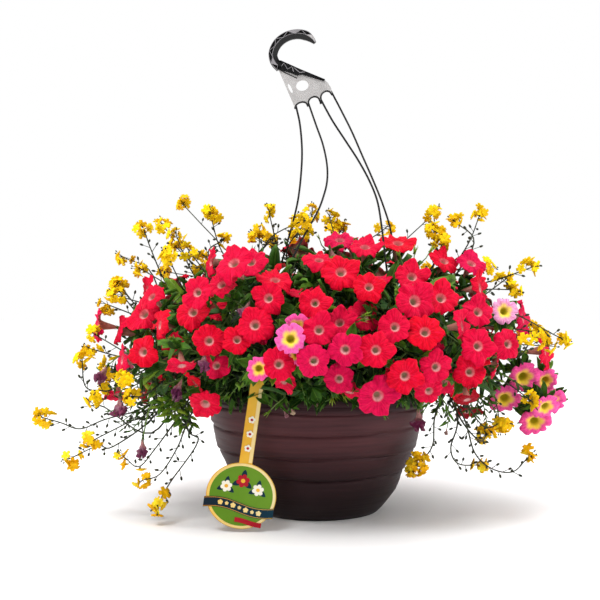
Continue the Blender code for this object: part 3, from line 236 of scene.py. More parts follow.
# Petals: depth of the notches, length of the points, tilt, ruffle, unevenness and arch of the lobes;
# then how finely the blooms are made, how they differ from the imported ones, and the deep ones
PETUNIA_LOBES = (0.15, 0.10, 0.42, 0.36, 0.14, 0.30)
BELL_LOBES = (0.24, -0.05, 0.16, 0.10, 0.04, 0.16)
FLORET_LOBES = (0.46, 0.0, 0.16, 0.08, 0.06, 0.05)
BLOOM_STEPS = 60
DEEP_STEPS = 40
BELL_STEPS = 40
FLORET_STEPS = 20
BLOOM_KINDS = 10
BLOOM_GROWTH = 0.87
BELL_GROWTH = 1.16
BELL_TURN = 0.75
BELL_FORWARD = 0.006
BELL_STEM_BACK = Vector((0, 0.014, 0))
BELL_BACKING = 16
BLOOM_BACKING = 3
BACKING_SIZE = (0.017, 0.027)
DEEP_BLOOMS = 64
DEEP_REACH = 0.86
DEEP_APART = 0.034
DEEP_SIZE = (0.017, 0.021)

# What the petals' shared pattern takes, and each kind's colours, values, sheen and depth of folds
PETAL_COLOURS = ("Throat", "Ring", "Petal", "Other petal", "Vein and fold shade", "Back", "Streak and crest highlight", "Pale")
PETAL_VALUES = ("Ring start", "Ring end", "Vein count", "Vein strength", "Star", "Upper ring share, painted lip light")
PETALS = {
    "petunia": (
        ((0.33, 0.23, 0.14), (0.88, 0.52, 0.50), (0.74, 0.0, 0.014), (0.66, 0.003, 0.085),
         (0.34, 0.0, 0.010), (0.50, 0.20, 0.155), (0.86, 0.018, 0.085), (0.84, 0.24, 0.33)),
        (0.200, 0.340, 30, 0.3, 0.0, 0.35), (1.0, 0.25, 0.35), 0.0034),
    "calibrachoa": (
        ((0.40, 0.33, 0.008), (1.0, 0.79, 0.040), (0.90, 0.075, 0.31), (0.82, 0.14, 0.46),
         (0.66, 0.010, 0.18), (0.66, 0.20, 0.26), (0.90, 0.17, 0.24), (0.82, 0.36, 0.60)),
        (0.34, 0.66, 20, 0.3, 0.05, 0.85), (0.9, 0.3, 0.6), 0.0020),
    "nemesia": (
        ((0.82, 0.36, 0.002), (0.90, 0.50, 0.002), (0.94, 0.66, 0.004), (0.86, 0.36, 0.003),
         (0.90, 0.55, 0.002), (0.86, 0.56, 0.010), (0.96, 0.74, 0.030), (0.94, 0.74, 0.030)),
        (0.08, 0.26, 10, 0.2, 0.0, 1.0), (0.9, 0.8, 0.2), 0.0003),
}

# Blooms: how long they are in their radii, their calyxes, and the tones of the unusual ones
BLOOM_LENGTH = 1.24
BELL_LENGTH = 0.86
CALYX_TONE = 0.55
CALYX = 0.012
BELL_CALYX = 0.009
DEEP_CALYX = 0.011
ROSE_SHARE = 0.06
ROSE_TONE, PALE_TONE, DARK_TONE = 0.75, 0.95, -0.5

# Stems: tone in their map, radii at the start and end of their lines, and colours of soft and thin ones
STEM_TONE = 0.3
BRANCH = (0.0009, 0.0015)
TRUNK = (0.0026, 0.0022)
LEAF_STALK = (0.0009, 0.0012)
HEAD_STEM = (0.0008, 0.0013)
FLORET_STALK = (0.00045, 0.00035)
BUD_STALK = (0.0004, 0.0003)
CAPSULE_STALK = (0.0005, 0.0004)
SHOOT = (0.0018, 0.0010)
DEEP_STEM = (0.0016, 0.0009)
SPRIG = (0.0009, 0.0006)
TWIG = (0.0010, 0.0006)
WILTED_STALK = (0.0008, 0.0012)
STEMS = (("stem_green", (0.060, 0.130, 0.022), (0.130, 0.200, 0.040)),
         ("stem_thin", (0.007, 0.014, 0.006), (0.036, 0.042, 0.016)))

# Leaves, as width, curl, fold and waves in their own lengths; heads and capsules
LEAVES = (
    (0.42, 0.16, 0.10, 0.03), (0.36, 0.34, 0.16, 0.05), (0.50, 0.06, 0.20, 0.02), (0.28, 0.20, 0.14, 0.04),
)
PLAIN_LEAVES = ((0.38, 0.20, 0.16, 0.03), (0.22, 0.14, 0.12, 0.02))
TWIG_LEAVES = ((0.38, 0.20, 0.0, 0.0), (0.24, 0.14, 0.0, 0.0))
LEAF_TRIES = 6
TRUNK_LEAVES = (0.028, 0.038)
BUDS = 3
BUD = 0.0011
BUD_OUT = (0.011, 0.014)
LEAVES_PER_BRANCH = 12
BRANCH_LEAVES = (0.036, 0.018)
BELL_LEAVES_PER_BRANCH = 20
BELL_LEAVES = (0.022, 0.014)
FLORET_REACH = 0.0083
FLORET_OUT = (0.006, 0.0115)
FLORET_SHADES = (-0.12, -0.05, 0.0, 0.06, 0.12, 0.45)
LOOSE_FLORETS = 4
WIDE_FLORETS = 12
LOOSE_REACH = (0.009, 0.0155)
CAPSULE = 0.0018
CAPSULE_OUT = (0.007, 0.014)
CAPSULE_GAP = 0.0050
CAPSULE_START = 0.018
SHARP_BEND = math.radians(80)
TWIGS = 180
LEAVES_PER_TWIG = 15
TWIG_LEAF = (0.018, 0.035)
# Near-black leaves deep in the mound, as painted shade
CORE_LEAVES = 3
CORE_LEAF = (0.045, 0.070)
CORE_INSIDE = 0.8
FILLING_INSIDE = 1.02
SPRIGS_PER_TWIG = 3
SPRIG_LENGTH = (0.016, 0.034)
SPRIG_INSIDE = 1.04
SEPALS = (0.008, 0.013)
FILLING_PIECES = 4
FILLING_REACH = (0.60, 0.99)
RIM_LEAVES = 150
RIM_LEAF = (0.016, 0.027)
RIM_LEAF_OUT = (0.1585, 0.163)
RIM_LEAF_HIGH = (0.168, 0.178)

# Leaves and sprigs that hang over the rim, as places in the picture
ROSETTE = (311, 386)
ROSETTE_ANGLES = (-172, -148, -125, -104, -84, -62, -38, -12, 12)
ROSETTE_LENGTH = 0.023
RIM_FRONT = -0.166

# Leafy twigs under the mound's edges, as they show in the picture: foot, ends, depth, leaf length and tones
DRAPES = (
    ((188, 386), ((152, 391), (160, 401), (169, 414), (178, 421), (188, 422), (157, 381), (173, 404)), -0.07,
     0.0165, (0.45, 1.0)),
    ((184, 398), ((163, 415), (172, 420), (181, 425), (192, 425), (158, 407), (176, 411)), -0.08,
     0.0150, (0.5, 1.0)),
    ((172, 392), ((118, 414), (128, 402), (139, 424), (146, 411), (124, 428)), -0.05, 0.0085, (0.05, 0.5)),
    ((162, 402), ((121, 422), (131, 431), (111, 411), (150, 422), (136, 413)), -0.06, 0.0080, (0.05, 0.5)),
    ((150, 380), ((119, 398), (112, 389), (131, 402)), -0.04, 0.0085, (0.05, 0.5)),
    ((452, 388), ((436, 408), (447, 420), (457, 413), (430, 399)), -0.06, 0.0085, (0.02, 0.35)),
    ((480, 394), ((476, 418), (487, 424), (497, 414), (468, 410)), -0.06, 0.0105, (0.05, 0.55)),
)
RIM_SPRIGS = (
    [(262, 392), (272, 398), (280, 404), (284, 411)], [(284, 396), (288, 402), (291, 408)],
    [(229, 392), (224, 397), (220, 401)], [(336, 392), (330, 399), (322, 403)],
    [(438, 395), (446, 404), (449, 416), (447, 428)], [(432, 395), (428, 404), (423, 412)],
)

# Places in the picture: blooms of a deeper rose, dark and pale ones, wide heads and wilted blooms
ROSE_BLOOMS = ((340, 385), (378, 396), (302, 340))
DARK_BLOOMS = ((468, 410), (145, 380))
WIDE_HEADS = ((209, 230), (290, 235), (470, 225), (438, 240), (100, 430), (415, 462), (480, 430))
PALE_BLOOMS = ((464, 385), (495, 305), (505, 310), (540, 365))
WILTED = (
    (182, 378), (143, 438), (120, 395), (418, 408), (108, 365), (225, 256), (250, 300), (330, 248),
    (205, 352),
)
NEAR_PLACE = 13.0
WILTED_SIZE = (0.022, 0.028)
WILTED_REACH = 0.97


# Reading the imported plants

def welded(node):
    """Copy of a node's mesh with its triangles joined."""
    work = bmesh.new()
    work.from_mesh(node.data)
    bmesh.ops.remove_doubles(work, verts=work.verts, dist=MERGE)
    return work


def following(ring, seen):
    """Corners next to a ring that haven't been seen, which are then counted as seen."""
    found = []
    for vert in ring:
        for edge in vert.link_edges:
            other = edge.other_vert(vert)
            if other not in seen:
                seen.add(other)
                found.append(other)
    return found


def centre(verts):
    """Middle of some corners."""
    return sum((v.co for v in verts), Vector()) / len(verts)


def walk(ring, seen):
    """Middles of the three-cornered rings that lead from a ring back to the fork."""
    line = []
    while True:
        ring = following(ring, seen)
        if len(ring) != 3:
            return line
        line.append(centre(ring))


class Plant:
    """Blooms, leaves, heads and trunk of one packed stem, read back from its mesh."""

    def __init__(self, name):
        self.name, self.kind = name, name.split("_")[0]
        self.blooms, self.leaves, self.heads, self.trunk = [], [], [], []
        work = welded(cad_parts[name])
        florets = []
        for vert in work.verts:
            near = min(edge.calc_length() for edge in vert.link_edges)
            if near < LEAST_REACH:
                continue
            seen = {vert}
            first = following([vert], seen)
            if len(first) == BLOOM_RING and near > FAN_REACH:
                self.read_bloom(vert, first, seen)
            elif len(first) == LEAF_RING:
                second = following(first, seen)
                if len(second) == 3 and self.kind == "nemesia":
                    florets.append((vert, first, second))
                elif len(second) == LEAF_RING and near > FAN_REACH:
                    self.leaves.append((vert.co.copy(), centre(second), walk(second, seen)))
        self.read_heads(florets)
        self.read_trunk(work)
        work.free()

    def read_bloom(self, vert, first, seen):
        """Seat, radius and branch of a bloom, from the middle of its throat outwards."""
        reach = max((v.co - vert.co).length for v in first)
        middle = centre(first)
        way = (middle - vert.co).normalized()
        back = following(first, seen)
        if self.kind == "petunia":
            back = following(back, seen)
        self.blooms.append((middle, way, reach, [middle - way * THROAT_BACK] + walk(back, seen)))

    def read_heads(self, florets):
        """Heads: florets whose balls touch, with the line of the stem that carries them."""
        heads = []
        for vert, first, second in florets:
            for head in heads:
                if any((v.co - w.co).length < HEAD_NEAR for v in second for w in head["ball"]):
                    break
            else:
                head = {"ball": [], "ways": [], "seen": set()}
                heads.append(head)
            head["ball"] += second
            head["ways"].append((vert.co - centre(second)).normalized())
            head["seen"] |= {vert, *first}
        for head in heads:
            ball = set(head["ball"])
            middle = centre(ball)
            for vert in list(ball):
                for edge in vert.link_edges:
                    other = edge.other_vert(vert)
                    if other not in head["seen"] and (other.co - middle).length < BALL_NEAR:
                        ball.add(other)
            middle = centre(ball)
            self.heads.append((middle, head["ways"], [middle] + walk(list(ball), head["seen"] | ball)))

    def read_trunk(self, work):
        """Line of the trunk, from its foot in the soil up to the fork."""
        low = min(v.co.z for v in work.verts)
        if low < SOIL_TOP:
            foot = [v for v in work.verts if v.co.z < low + FOOT_HIGH and v.co.xy.length < FOOT_OUT]
            if len(foot) == 3:
                self.trunk = [centre(foot)] + walk(foot, set(foot))


# Shapes: corners, faces and a flat map of each part, to be copied into place

class Shape:
    """A part made once: its corners, its faces and two map values for each corner."""

    def __init__(self, work, mapped=None):
        work.verts.index_update()
        self.co = np.array([tuple(v.co) for v in work.verts], float)
        self.faces = [[v.index for v in f.verts] for f in work.faces]
        if mapped is None:
            self.uv = self.co[:, :2].copy()
        else:
            self.uv = np.array([mapped[v.index] for v in work.verts], float)
        work.free()


class Bunch:
    """Copies of parts and lines of stems, gathered into one piece."""

    def __init__(self):
        self.co, self.faces, self.uv, self.tone, self.slots, self.stems = [], [], [], [], [], []
        self.count = 0

    def put(self, shape, seat=Matrix(), tone=0.0, slot=0):
        """One copy of a part in its seat."""
        turn = np.array(seat)
        self.co.append(shape.co @ turn[:3, :3].T + turn[:3, 3])
        self.faces += [[i + self.count for i in face] for face in shape.faces]
        self.uv.append(shape.uv)
        self.tone.append(np.full(len(shape.co), tone))
        self.slots += [slot] * len(shape.faces)
        self.count += len(shape.co)

    def stem(self, points, thick, thin):
        """Line of a stem whose radius thins evenly along it."""
        last = max(len(points) - 1, 1)
        self.stems.append([(p, thick + (thin - thick) * k / last) for k, p in enumerate(points)])

    def piece(self, name, materials, smooth=True):
        """Object of all that was gathered."""
        if self.stems:
            self.put(tubes(self.stems), tone=STEM_TONE, slot=2)
        mesh = bpy.data.meshes.new(name)
        mesh.from_pydata(np.concatenate(self.co).tolist(), [], self.faces)
        mesh.polygons.foreach_set("material_index", self.slots)
        corners = np.array([i for face in self.faces for i in face])
        layer = mesh.uv_layers.new(name="place")
        layer.data.foreach_set("uv", np.concatenate(self.uv)[corners].ravel())
        tone = mesh.attributes.new("tone", "FLOAT", "POINT")
        tone.data.foreach_set("value", np.concatenate(self.tone))
        return placed(mesh, materials, smooth)


def linked(name, data):
    """Object of some data, in the scene."""
    made = bpy.data.objects.new(name, data)
    bpy.context.scene.collection.objects.link(made)
    return made


def placed(mesh, materials, smooth):
    """Object of a finished mesh."""
    for material in materials:
        mesh.materials.append(material)
    mesh.polygons.foreach_set("use_smooth", [smooth] * len(mesh.polygons))
    mesh.update()
    return linked(mesh.name, mesh)


def mesh_piece(name, work, materials, smooth=True):
    """Object of one worked mesh."""
    mesh = bpy.data.meshes.new(name)
    work.to_mesh(mesh)
    work.free()
    return placed(mesh, materials, smooth)


def turned(profile, steps):
    """Profile of radius and height spun about Z, closed where it starts and ends on the axis."""
    work = bmesh.new()
    corners = [work.verts.new((r, 0, z)) for r, z in profile]
    edges = [work.edges.new(pair) for pair in zip(corners, corners[1:])]
    bmesh.ops.spin(work, geom=corners + edges, cent=(0, 0, 0), axis=(0, 0, 1), angle=math.tau, steps=steps,
                   use_merge=True)
    return cleaned(work)


def cleaned(work):
    """Worked mesh with its doubles merged and its faces out."""
    bmesh.ops.remove_doubles(work, verts=work.verts, dist=DOUBLES)
    bmesh.ops.recalc_face_normals(work, faces=work.faces)
    return work


def rounded(r, z):
    """Radius and height, rounded so that they compare."""
    return round(r, 4), round(z, 4)


def finely(profile, step):
    """Profile with its longer spans cut into even steps."""
    fine = [profile[0]]
    for (r0, z0), (r1, z1) in zip(profile, profile[1:]):
        count = max(1, round(math.hypot(r1 - r0, z1 - z0) / step))
        fine += [(r0 + (r1 - r0) * k / count, z0 + (z1 - z0) * k / count) for k in range(1, count + 1)]
    return fine


def flower(face, back, steps, lobes, seed):
    """Bloom of unit radius spun from its face and its back, then cut into five uneven lobes and ruffled."""
    notch, point, tilt, ruffle, uneven, arch = lobes
    work = turned(face + back, steps)
    front = {rounded(*place) for place in face}
    draw = random.Random(seed)
    sizes = [draw.uniform(-0.12, 0.08) for _ in range(5)]
    tilts = [draw.uniform(-tilt, tilt * 0.7) for _ in range(5)]
    twist = draw.uniform(0.0, 9.0)
    mapped = {}
    work.verts.index_update()
    for vert in work.verts:
        x, y, z = vert.co
        reach, angle = math.hypot(x, y), math.atan2(y, x)
        shift = 0.0 if rounded(reach, z) in front else BACK_SHIFT
        mapped[vert.index] = (x + shift, y)
        edge = clamped((reach - 0.30) / 0.70)
        lobe = math.floor(angle * 5 / math.tau + 0.5) % 5
        part = (angle * 5 / math.tau + 0.5) % 1 - 0.5
        weight = math.cos(math.pi * part) ** 2
        around = Vector((math.cos(angle), math.sin(angle), 0))
        cut = notch * math.exp(-((0.5 - abs(part)) / 0.085) ** 2)
        tip = point * math.exp(-(part / 0.15) ** 2)
        grow = 1 + edge * (weight * sizes[lobe] - cut + tip + uneven * noise.noise(around * 1.6 + UP * twist))
        waves = ruffle * noise.noise(around * 3.2 + UP * (twist + 5 + 1.2 * reach))
        crease = -0.055 * edge * math.exp(-(part / 0.045) ** 2)
        arched = arch * edge * (weight - 0.5) * (1.2 - edge)
        lift = edge ** 2 * (weight * tilts[lobe] + waves) + arched + crease
        vert.co = Vector((x * grow, y * grow, z + lift))
    return Shape(work, mapped)


def clamped(value, low=0.0, high=1.0):
    """Value kept between two limits."""
    return min(high, max(low, value))


def petunia_shape(seed, steps=BLOOM_STEPS):
    """Petunia, in bloom radii: a flared face round a hollow throat, over a tapering tube."""
    thin = 0.022
    face = [(0.0, -0.36), (0.100, -0.34), (0.165, -0.25), (0.205, -0.15), (0.255, -0.070), (0.34, -0.02),
            (0.47, 0.005), (0.62, 0.02), (0.80, 0.015), (0.92, -0.005), (1.0, -0.03)]
    back = [(0.995, -0.03 - thin), (0.80, 0.015 - thin), (0.60, -0.02 - thin), (0.44, -0.075), (0.33, -0.18),
            (0.265, -0.36), (0.20, -0.66), (0.13, -1.02), (0.075, -1.24), (0.0, -1.26)]
    return flower(face, back, steps, PETUNIA_LOBES, seed)


def bell_shape(seed):
    """Calibrachoa, in bloom radii: five square-ended lobes round a short wide throat."""
    thin = 0.030
    face = [(0.0, -0.50), (0.14, -0.44), (0.24, -0.24), (0.32, -0.09), (0.48, -0.01), (0.74, 0.02),
            (1.0, -0.02)]
    back = [(0.99, -0.02 - thin), (0.70, 0.02 - thin), (0.42, -0.07), (0.29, -0.28), (0.20, -0.70),
            (0.0, -BELL_LENGTH)]
    return flower(face, back, BELL_STEPS, BELL_LOBES, seed)


def floret_shape(seed):
    """Nemesia floret, in its own radii: rounded lobes, deeply cut, on a short spur."""
    face = [(0.0, -0.22), (0.50, 0.0), (1.0, 0.03)]
    back = [(0.97, -0.04), (0.0, -0.42)]
    return flower(face, back, FLORET_STEPS, FLORET_LOBES, seed)


def wilted_shape(seed):
    """Spent bloom of unit length: a crumpled, folded funnel that hangs along +Z."""
    outline = [(0.0, 0.0), (0.05, 0.02), (0.08, 0.25), (0.13, 0.48), (0.24, 0.68), (0.25, 0.84), (0.14, 0.97),
               (0.05, 0.90), (0.0, 0.80)]
    work = turned(finely(outline, 0.06), 30)
    for vert in work.verts:
        angle = math.atan2(vert.co.y, vert.co.x)
        share = vert.co.z
        folds = 0.30 * math.sin(7 * angle + seed) + 0.30 * math.sin(3 * angle + 2 * seed + 5 * share)
        crumple = 1 + share * folds
        crumple += 1.3 * share * noise.noise(vert.co * 8 + UP * seed)
        vert.co.x *= crumple * 1.15
        vert.co.y *= crumple * 0.80
        vert.co.z += 0.14 * share * math.sin(4 * angle + seed)
    work.verts.index_update()
    return Shape(work, {vert.index: (vert.co.x, vert.co.z) for vert in work.verts})


def leaf_shape(width, curl, fold, waves, cells=(2, 6), peak=0.80):
    """Oval leaf of unit length along +Z, its face to +X, folded at the midrib and curled at the tip."""
    work = bmesh.new()
    bmesh.ops.create_grid(work, x_segments=cells[0], y_segments=cells[1], size=0.5)
    for vert in work.verts:
        across, along = vert.co.x * 2, vert.co.y + 0.5
        half = width / 2 * (math.sin(math.pi * min(along + 0.02, 1.0) ** peak) ** 0.75) + 0.004
        lift = fold * abs(across) - curl * along ** 2 + waves * math.sin(9 * along) * across
        vert.co = Vector((lift, half * across, along))
    faces = list(work.faces)
    bmesh.ops.recalc_face_normals(work, faces=faces)
    if sum(f.normal.x for f in faces) < 0:
        bmesh.ops.reverse_faces(work, faces=faces)
    bmesh.ops.solidify(work, geom=faces, thickness=0.012)
    work.verts.index_update()
    return Shape(work, {v.index: (v.co.y, v.co.z) for v in work.verts})


def calyx_shape():
    """Five narrow sepals round the foot of a bloom, of unit length along +Z."""
    work = bmesh.new()
    for k in range(5):
        cone = bmesh.ops.create_cone(work, cap_ends=True, segments=4, radius1=0.15, radius2=0.01, depth=1.0)
        place = (Matrix.Rotation(math.tau * k / 5, 4, "Z") @ Matrix.Translation((0.16, 0, 0.42))
                 @ Matrix.Rotation(0.32, 4, "Y") @ Matrix.Diagonal((0.35, 1.0, 1.0, 1.0)))
        bmesh.ops.transform(work, matrix=place, verts=cone["verts"])
    return Shape(work)


def bead_shape(stretch):
    """Bud or seed capsule: a small drop of unit radius."""
    work = bmesh.new()
    bmesh.ops.create_icosphere(work, subdivisions=1, radius=1.0)
    bmesh.ops.scale(work, vec=(1, 1, stretch), verts=work.verts)
    return Shape(work)


def tubes(lines, sides=1):
    """Round stems along lines of (place, radius), as one part."""
    curve = bpy.data.curves.new("stems", "CURVE")
    curve.dimensions = "3D"
    curve.bevel_depth = 1.0
    curve.bevel_resolution = sides
    curve.use_fill_caps = True
    for line in lines:
        spline = curve.splines.new("POLY")
        spline.points.add(len(line) - 1)
        spline.use_smooth = True
        for point, (place, radius) in zip(spline.points, line):
            point.co = (*place, 1)
            point.radius = radius
    holder = linked("stems", curve)
    mesh = worked_out(holder)
    work = bmesh.new()
    work.from_mesh(mesh)
    bpy.data.objects.remove(holder)
    bpy.data.curves.remove(curve)
    bpy.data.meshes.remove(mesh)
    return Shape(cleaned(work))


def worked_out(holder):
    """Mesh of an object with its curve or modifiers worked out."""
    bpy.context.view_layer.update()
    return bpy.data.meshes.new_from_object(holder.evaluated_get(bpy.context.evaluated_depsgraph_get()))


def even(points, radius):
    """Line of places with one radius."""
    return [(point, radius) for point in points]


def smooth_line(points, steps):
    """Curve through points, with some steps to each span."""
    ends = [points[0] * 2 - points[1]] + list(points) + [points[-1] * 2 - points[-2]]
    line = []
    for i in range(1, len(ends) - 2):
        a, b, c, d = ends[i - 1:i + 3]
        for k in range(steps):
            t = k / steps
            line.append(0.5 * ((2 * b) + (c - a) * t + (2 * a - 5 * b + 4 * c - d) * t ** 2
                               + (3 * b - a - 3 * c + d) * t ** 3))
    return line + [points[-1]]


def seat_along(place, way, turn=0.0, size=1.0):
    """Place, way, turn about the way and size of a copy whose Z runs along the way."""
    return (Matrix.Translation(place) @ way.to_track_quat("Z", "Y").to_matrix().to_4x4()
            @ Matrix.Rotation(turn, 4, "Z") @ Matrix.Scale(size, 4))


def leaf_seat(base, way, normal, size):
    """Seat of a leaf: Z along it and X out of its upper side."""
    z = way.normalized()
    x = (normal - z * normal.dot(z)).normalized()
    return Matrix.Translation(base) @ Matrix((x, z.cross(x), z)).transposed().to_4x4() @ Matrix.Scale(size, 4)


def any_way():
    """Random direction."""
    return Vector([chance.gauss(0, 1) for _ in range(3)]).normalized()


def seen_at(u, v, depth=0.0):
    """Point at a depth that shows at a place in the picture."""
    reach = (depth - EYE.y) / FOCAL
    return Vector((EYE.x + (u - PICTURE / 2) * reach, depth, EYE.z - (v - PICTURE / 2) * reach))


def seen_place(point):
    """Place in the picture where a point shows."""
    away = point - EYE
    return PICTURE / 2 + FOCAL * away.x / away.y, PICTURE / 2 - FOCAL * away.z / away.y


def shows_near(point, places, farthest=0.05):
    """True if a point no farther than a depth shows close to one of some places in the picture."""
    u, v = seen_place(point)
    return point.y < farthest and any(math.hypot(u - a, v - b) < NEAR_PLACE for a, b in places)


def mound_sizes(height):
    """Half sizes of the mound, above its middle or below it."""
    return MOUND_SIZE.x, MOUND_SIZE.y, MOUND_SIZE.z if height > 0 else MOUND_BELOW


def mound_reach(point):
    """1 on the mound's surface, less inside it."""
    away = point - MOUND
    return Vector([a / size for a, size in zip(away, mound_sizes(away.z))]).length


def outward(point):
    """Way out of the mound at a point."""
    away = point - MOUND
    return Vector([a / size ** 2 for a, size in zip(away, mound_sizes(away.z))]).normalized()


def spiral_place(k, count, span, reach):
    """Place of an even spiral over the mound, from its top down, at a share of its size."""
    height = 1 - span * (k + 0.5) / count
    flat = math.sqrt(1 - height * height)
    way = Vector((flat * math.cos(GOLDEN * k), flat * math.sin(GOLDEN * k), height))
    return MOUND + Vector([a * size for a, size in zip(way, mound_sizes(height))]) * reach


def is_free(*points):
    """True if all of some points are outside the pot and none hides the tag's strip."""
    for point in points:
        strip = TAG_CENTRE.x + (point.z - TAG_CENTRE.z) * math.tan(TAG_LEAN)
        if point.y < STRIP_FRONT and point.z < STRIP_TOP + STRIP_BEND and abs(point.x - strip) < STRIP_WIDTH:
            return False
        if point.z <= POT_TOP + RIM_ABOVE and math.hypot(point.x, point.y) <= RIM_CLEAR:
            return False
    return True


# Finishes

class Nodes:
    """Writes the nodes of a material or a group."""

    def __init__(self, tree):
        self.tree = tree

    def node(self, kind, inputs=(), **settings):
        """Node with its settings, its values and what feeds it."""
        made = self.tree.nodes.new("ShaderNode" + kind)
        for key, value in settings.items():
            setattr(made, key, value)
        for key, value in dict(inputs).items():
            socket = made.inputs[key]
            if isinstance(value, bpy.types.NodeSocket):
                self.tree.links.new(value, socket)
            else:
                socket.default_value = (*value, 1) if socket.type == "RGBA" else value
        return made

    def maths(self, operation, *values):
        """Result of one step of arithmetic."""
        return self.node("Math", enumerate(values), operation=operation).outputs[0]

    def times(self, a, b):
        """Product of two values."""
        return self.maths("MULTIPLY", a, b)

    def plus(self, a, b):
        """Sum of two values."""
        return self.maths("ADD", a, b)

    def less(self, a, b):
        """First value less the second."""
        return self.maths("SUBTRACT", a, b)

    def crest(self, value, power):
        """Upper half of a wave, made narrow."""
        return self.maths("POWER", self.maths("MAXIMUM", self.maths("SINE", value), 0.0), power)

    def span(self, value, start, end, low=0.0, high=1.0, **settings):
        """Value brought from one range to another and kept in it."""
        return self.node("MapRange", {"Value": value, "From Min": start, "From Max": end, "To Min": low,
                                      "To Max": high}, **settings).outputs["Result"]

    def mix(self, factor, first, second, blend="MIX"):
        """Two colours mixed."""
        colours = {0: factor, 6: first, 7: second}
        return self.node("Mix", colours, data_type="RGBA", blend_type=blend).outputs[2]

    def shaded(self, colour, value):
        """Colour made darker or lighter by a value."""
        grey = self.node("CombineColor", {"Red": value, "Green": value, "Blue": value}).outputs["Color"]
        return self.mix(1.0, colour, grey, "MULTIPLY")

    def ramp(self, value, *stops):
        """Colour ramp over a value."""
        made = self.node("ValToRGB", {"Fac": value})
        elements = made.color_ramp.elements
        while len(elements) < len(stops):
            elements.new(0.5)
        for element, (place, colour) in zip(elements, stops):
            element.position, element.color = place, (*colour, 1)
        return made.outputs["Color"]

    def where(self, scale=None):
        """The object's own coordinates, stretched if a scale is given."""
        place = self.node("TexCoord").outputs["Object"]
        return self.node("Mapping", {"Vector": place, "Scale": scale}).outputs["Vector"] if scale else place

    def noise(self, scale, detail=3.0, roughness=0.5, where=None):
        """Noise on the object's own coordinates or on others."""
        return self.node("TexNoise", {"Vector": where or self.where(), "Scale": scale, "Detail": detail,
                                      "Roughness": roughness}).outputs["Fac"]

    def parts(self, vector):
        """X, Y and Z of a vector."""
        return self.node("SeparateXYZ", {"Vector": vector}).outputs

    def mapped(self):
        """X and Y of the part's flat map."""
        return self.parts(self.node("UVMap", uv_map="place").outputs["UV"])

    def tone(self):
        """Tone of the part, from the piece's own attribute."""
        return self.node("Attribute", attribute_name="tone").outputs["Fac"]


class Finish(Nodes):
    """Material with its shader's own values and what feeds them."""

    def __init__(self, name, **values):
        self.material = bpy.data.materials.new(name)
        self.material.use_nodes = True
        super().__init__(self.material.node_tree)
        self.shader = self.tree.nodes["Principled BSDF"]
        for key, value in values.items():
            self.shader.inputs[key.replace("_", " ")].default_value = value

    def feed(self, name, source):
        """Feeds one of the shader's values."""
        self.tree.links.new(source, self.shader.inputs[name])

    def done(self, colour, height, strength, distance):
        """The material, its colour fed and its height made a bump."""
        self.feed("Base Color", colour)
        bump = self.node("Bump", {"Height": height, "Strength": strength, "Distance": distance})
        self.feed("Normal", bump.outputs["Normal"])
        return self.material


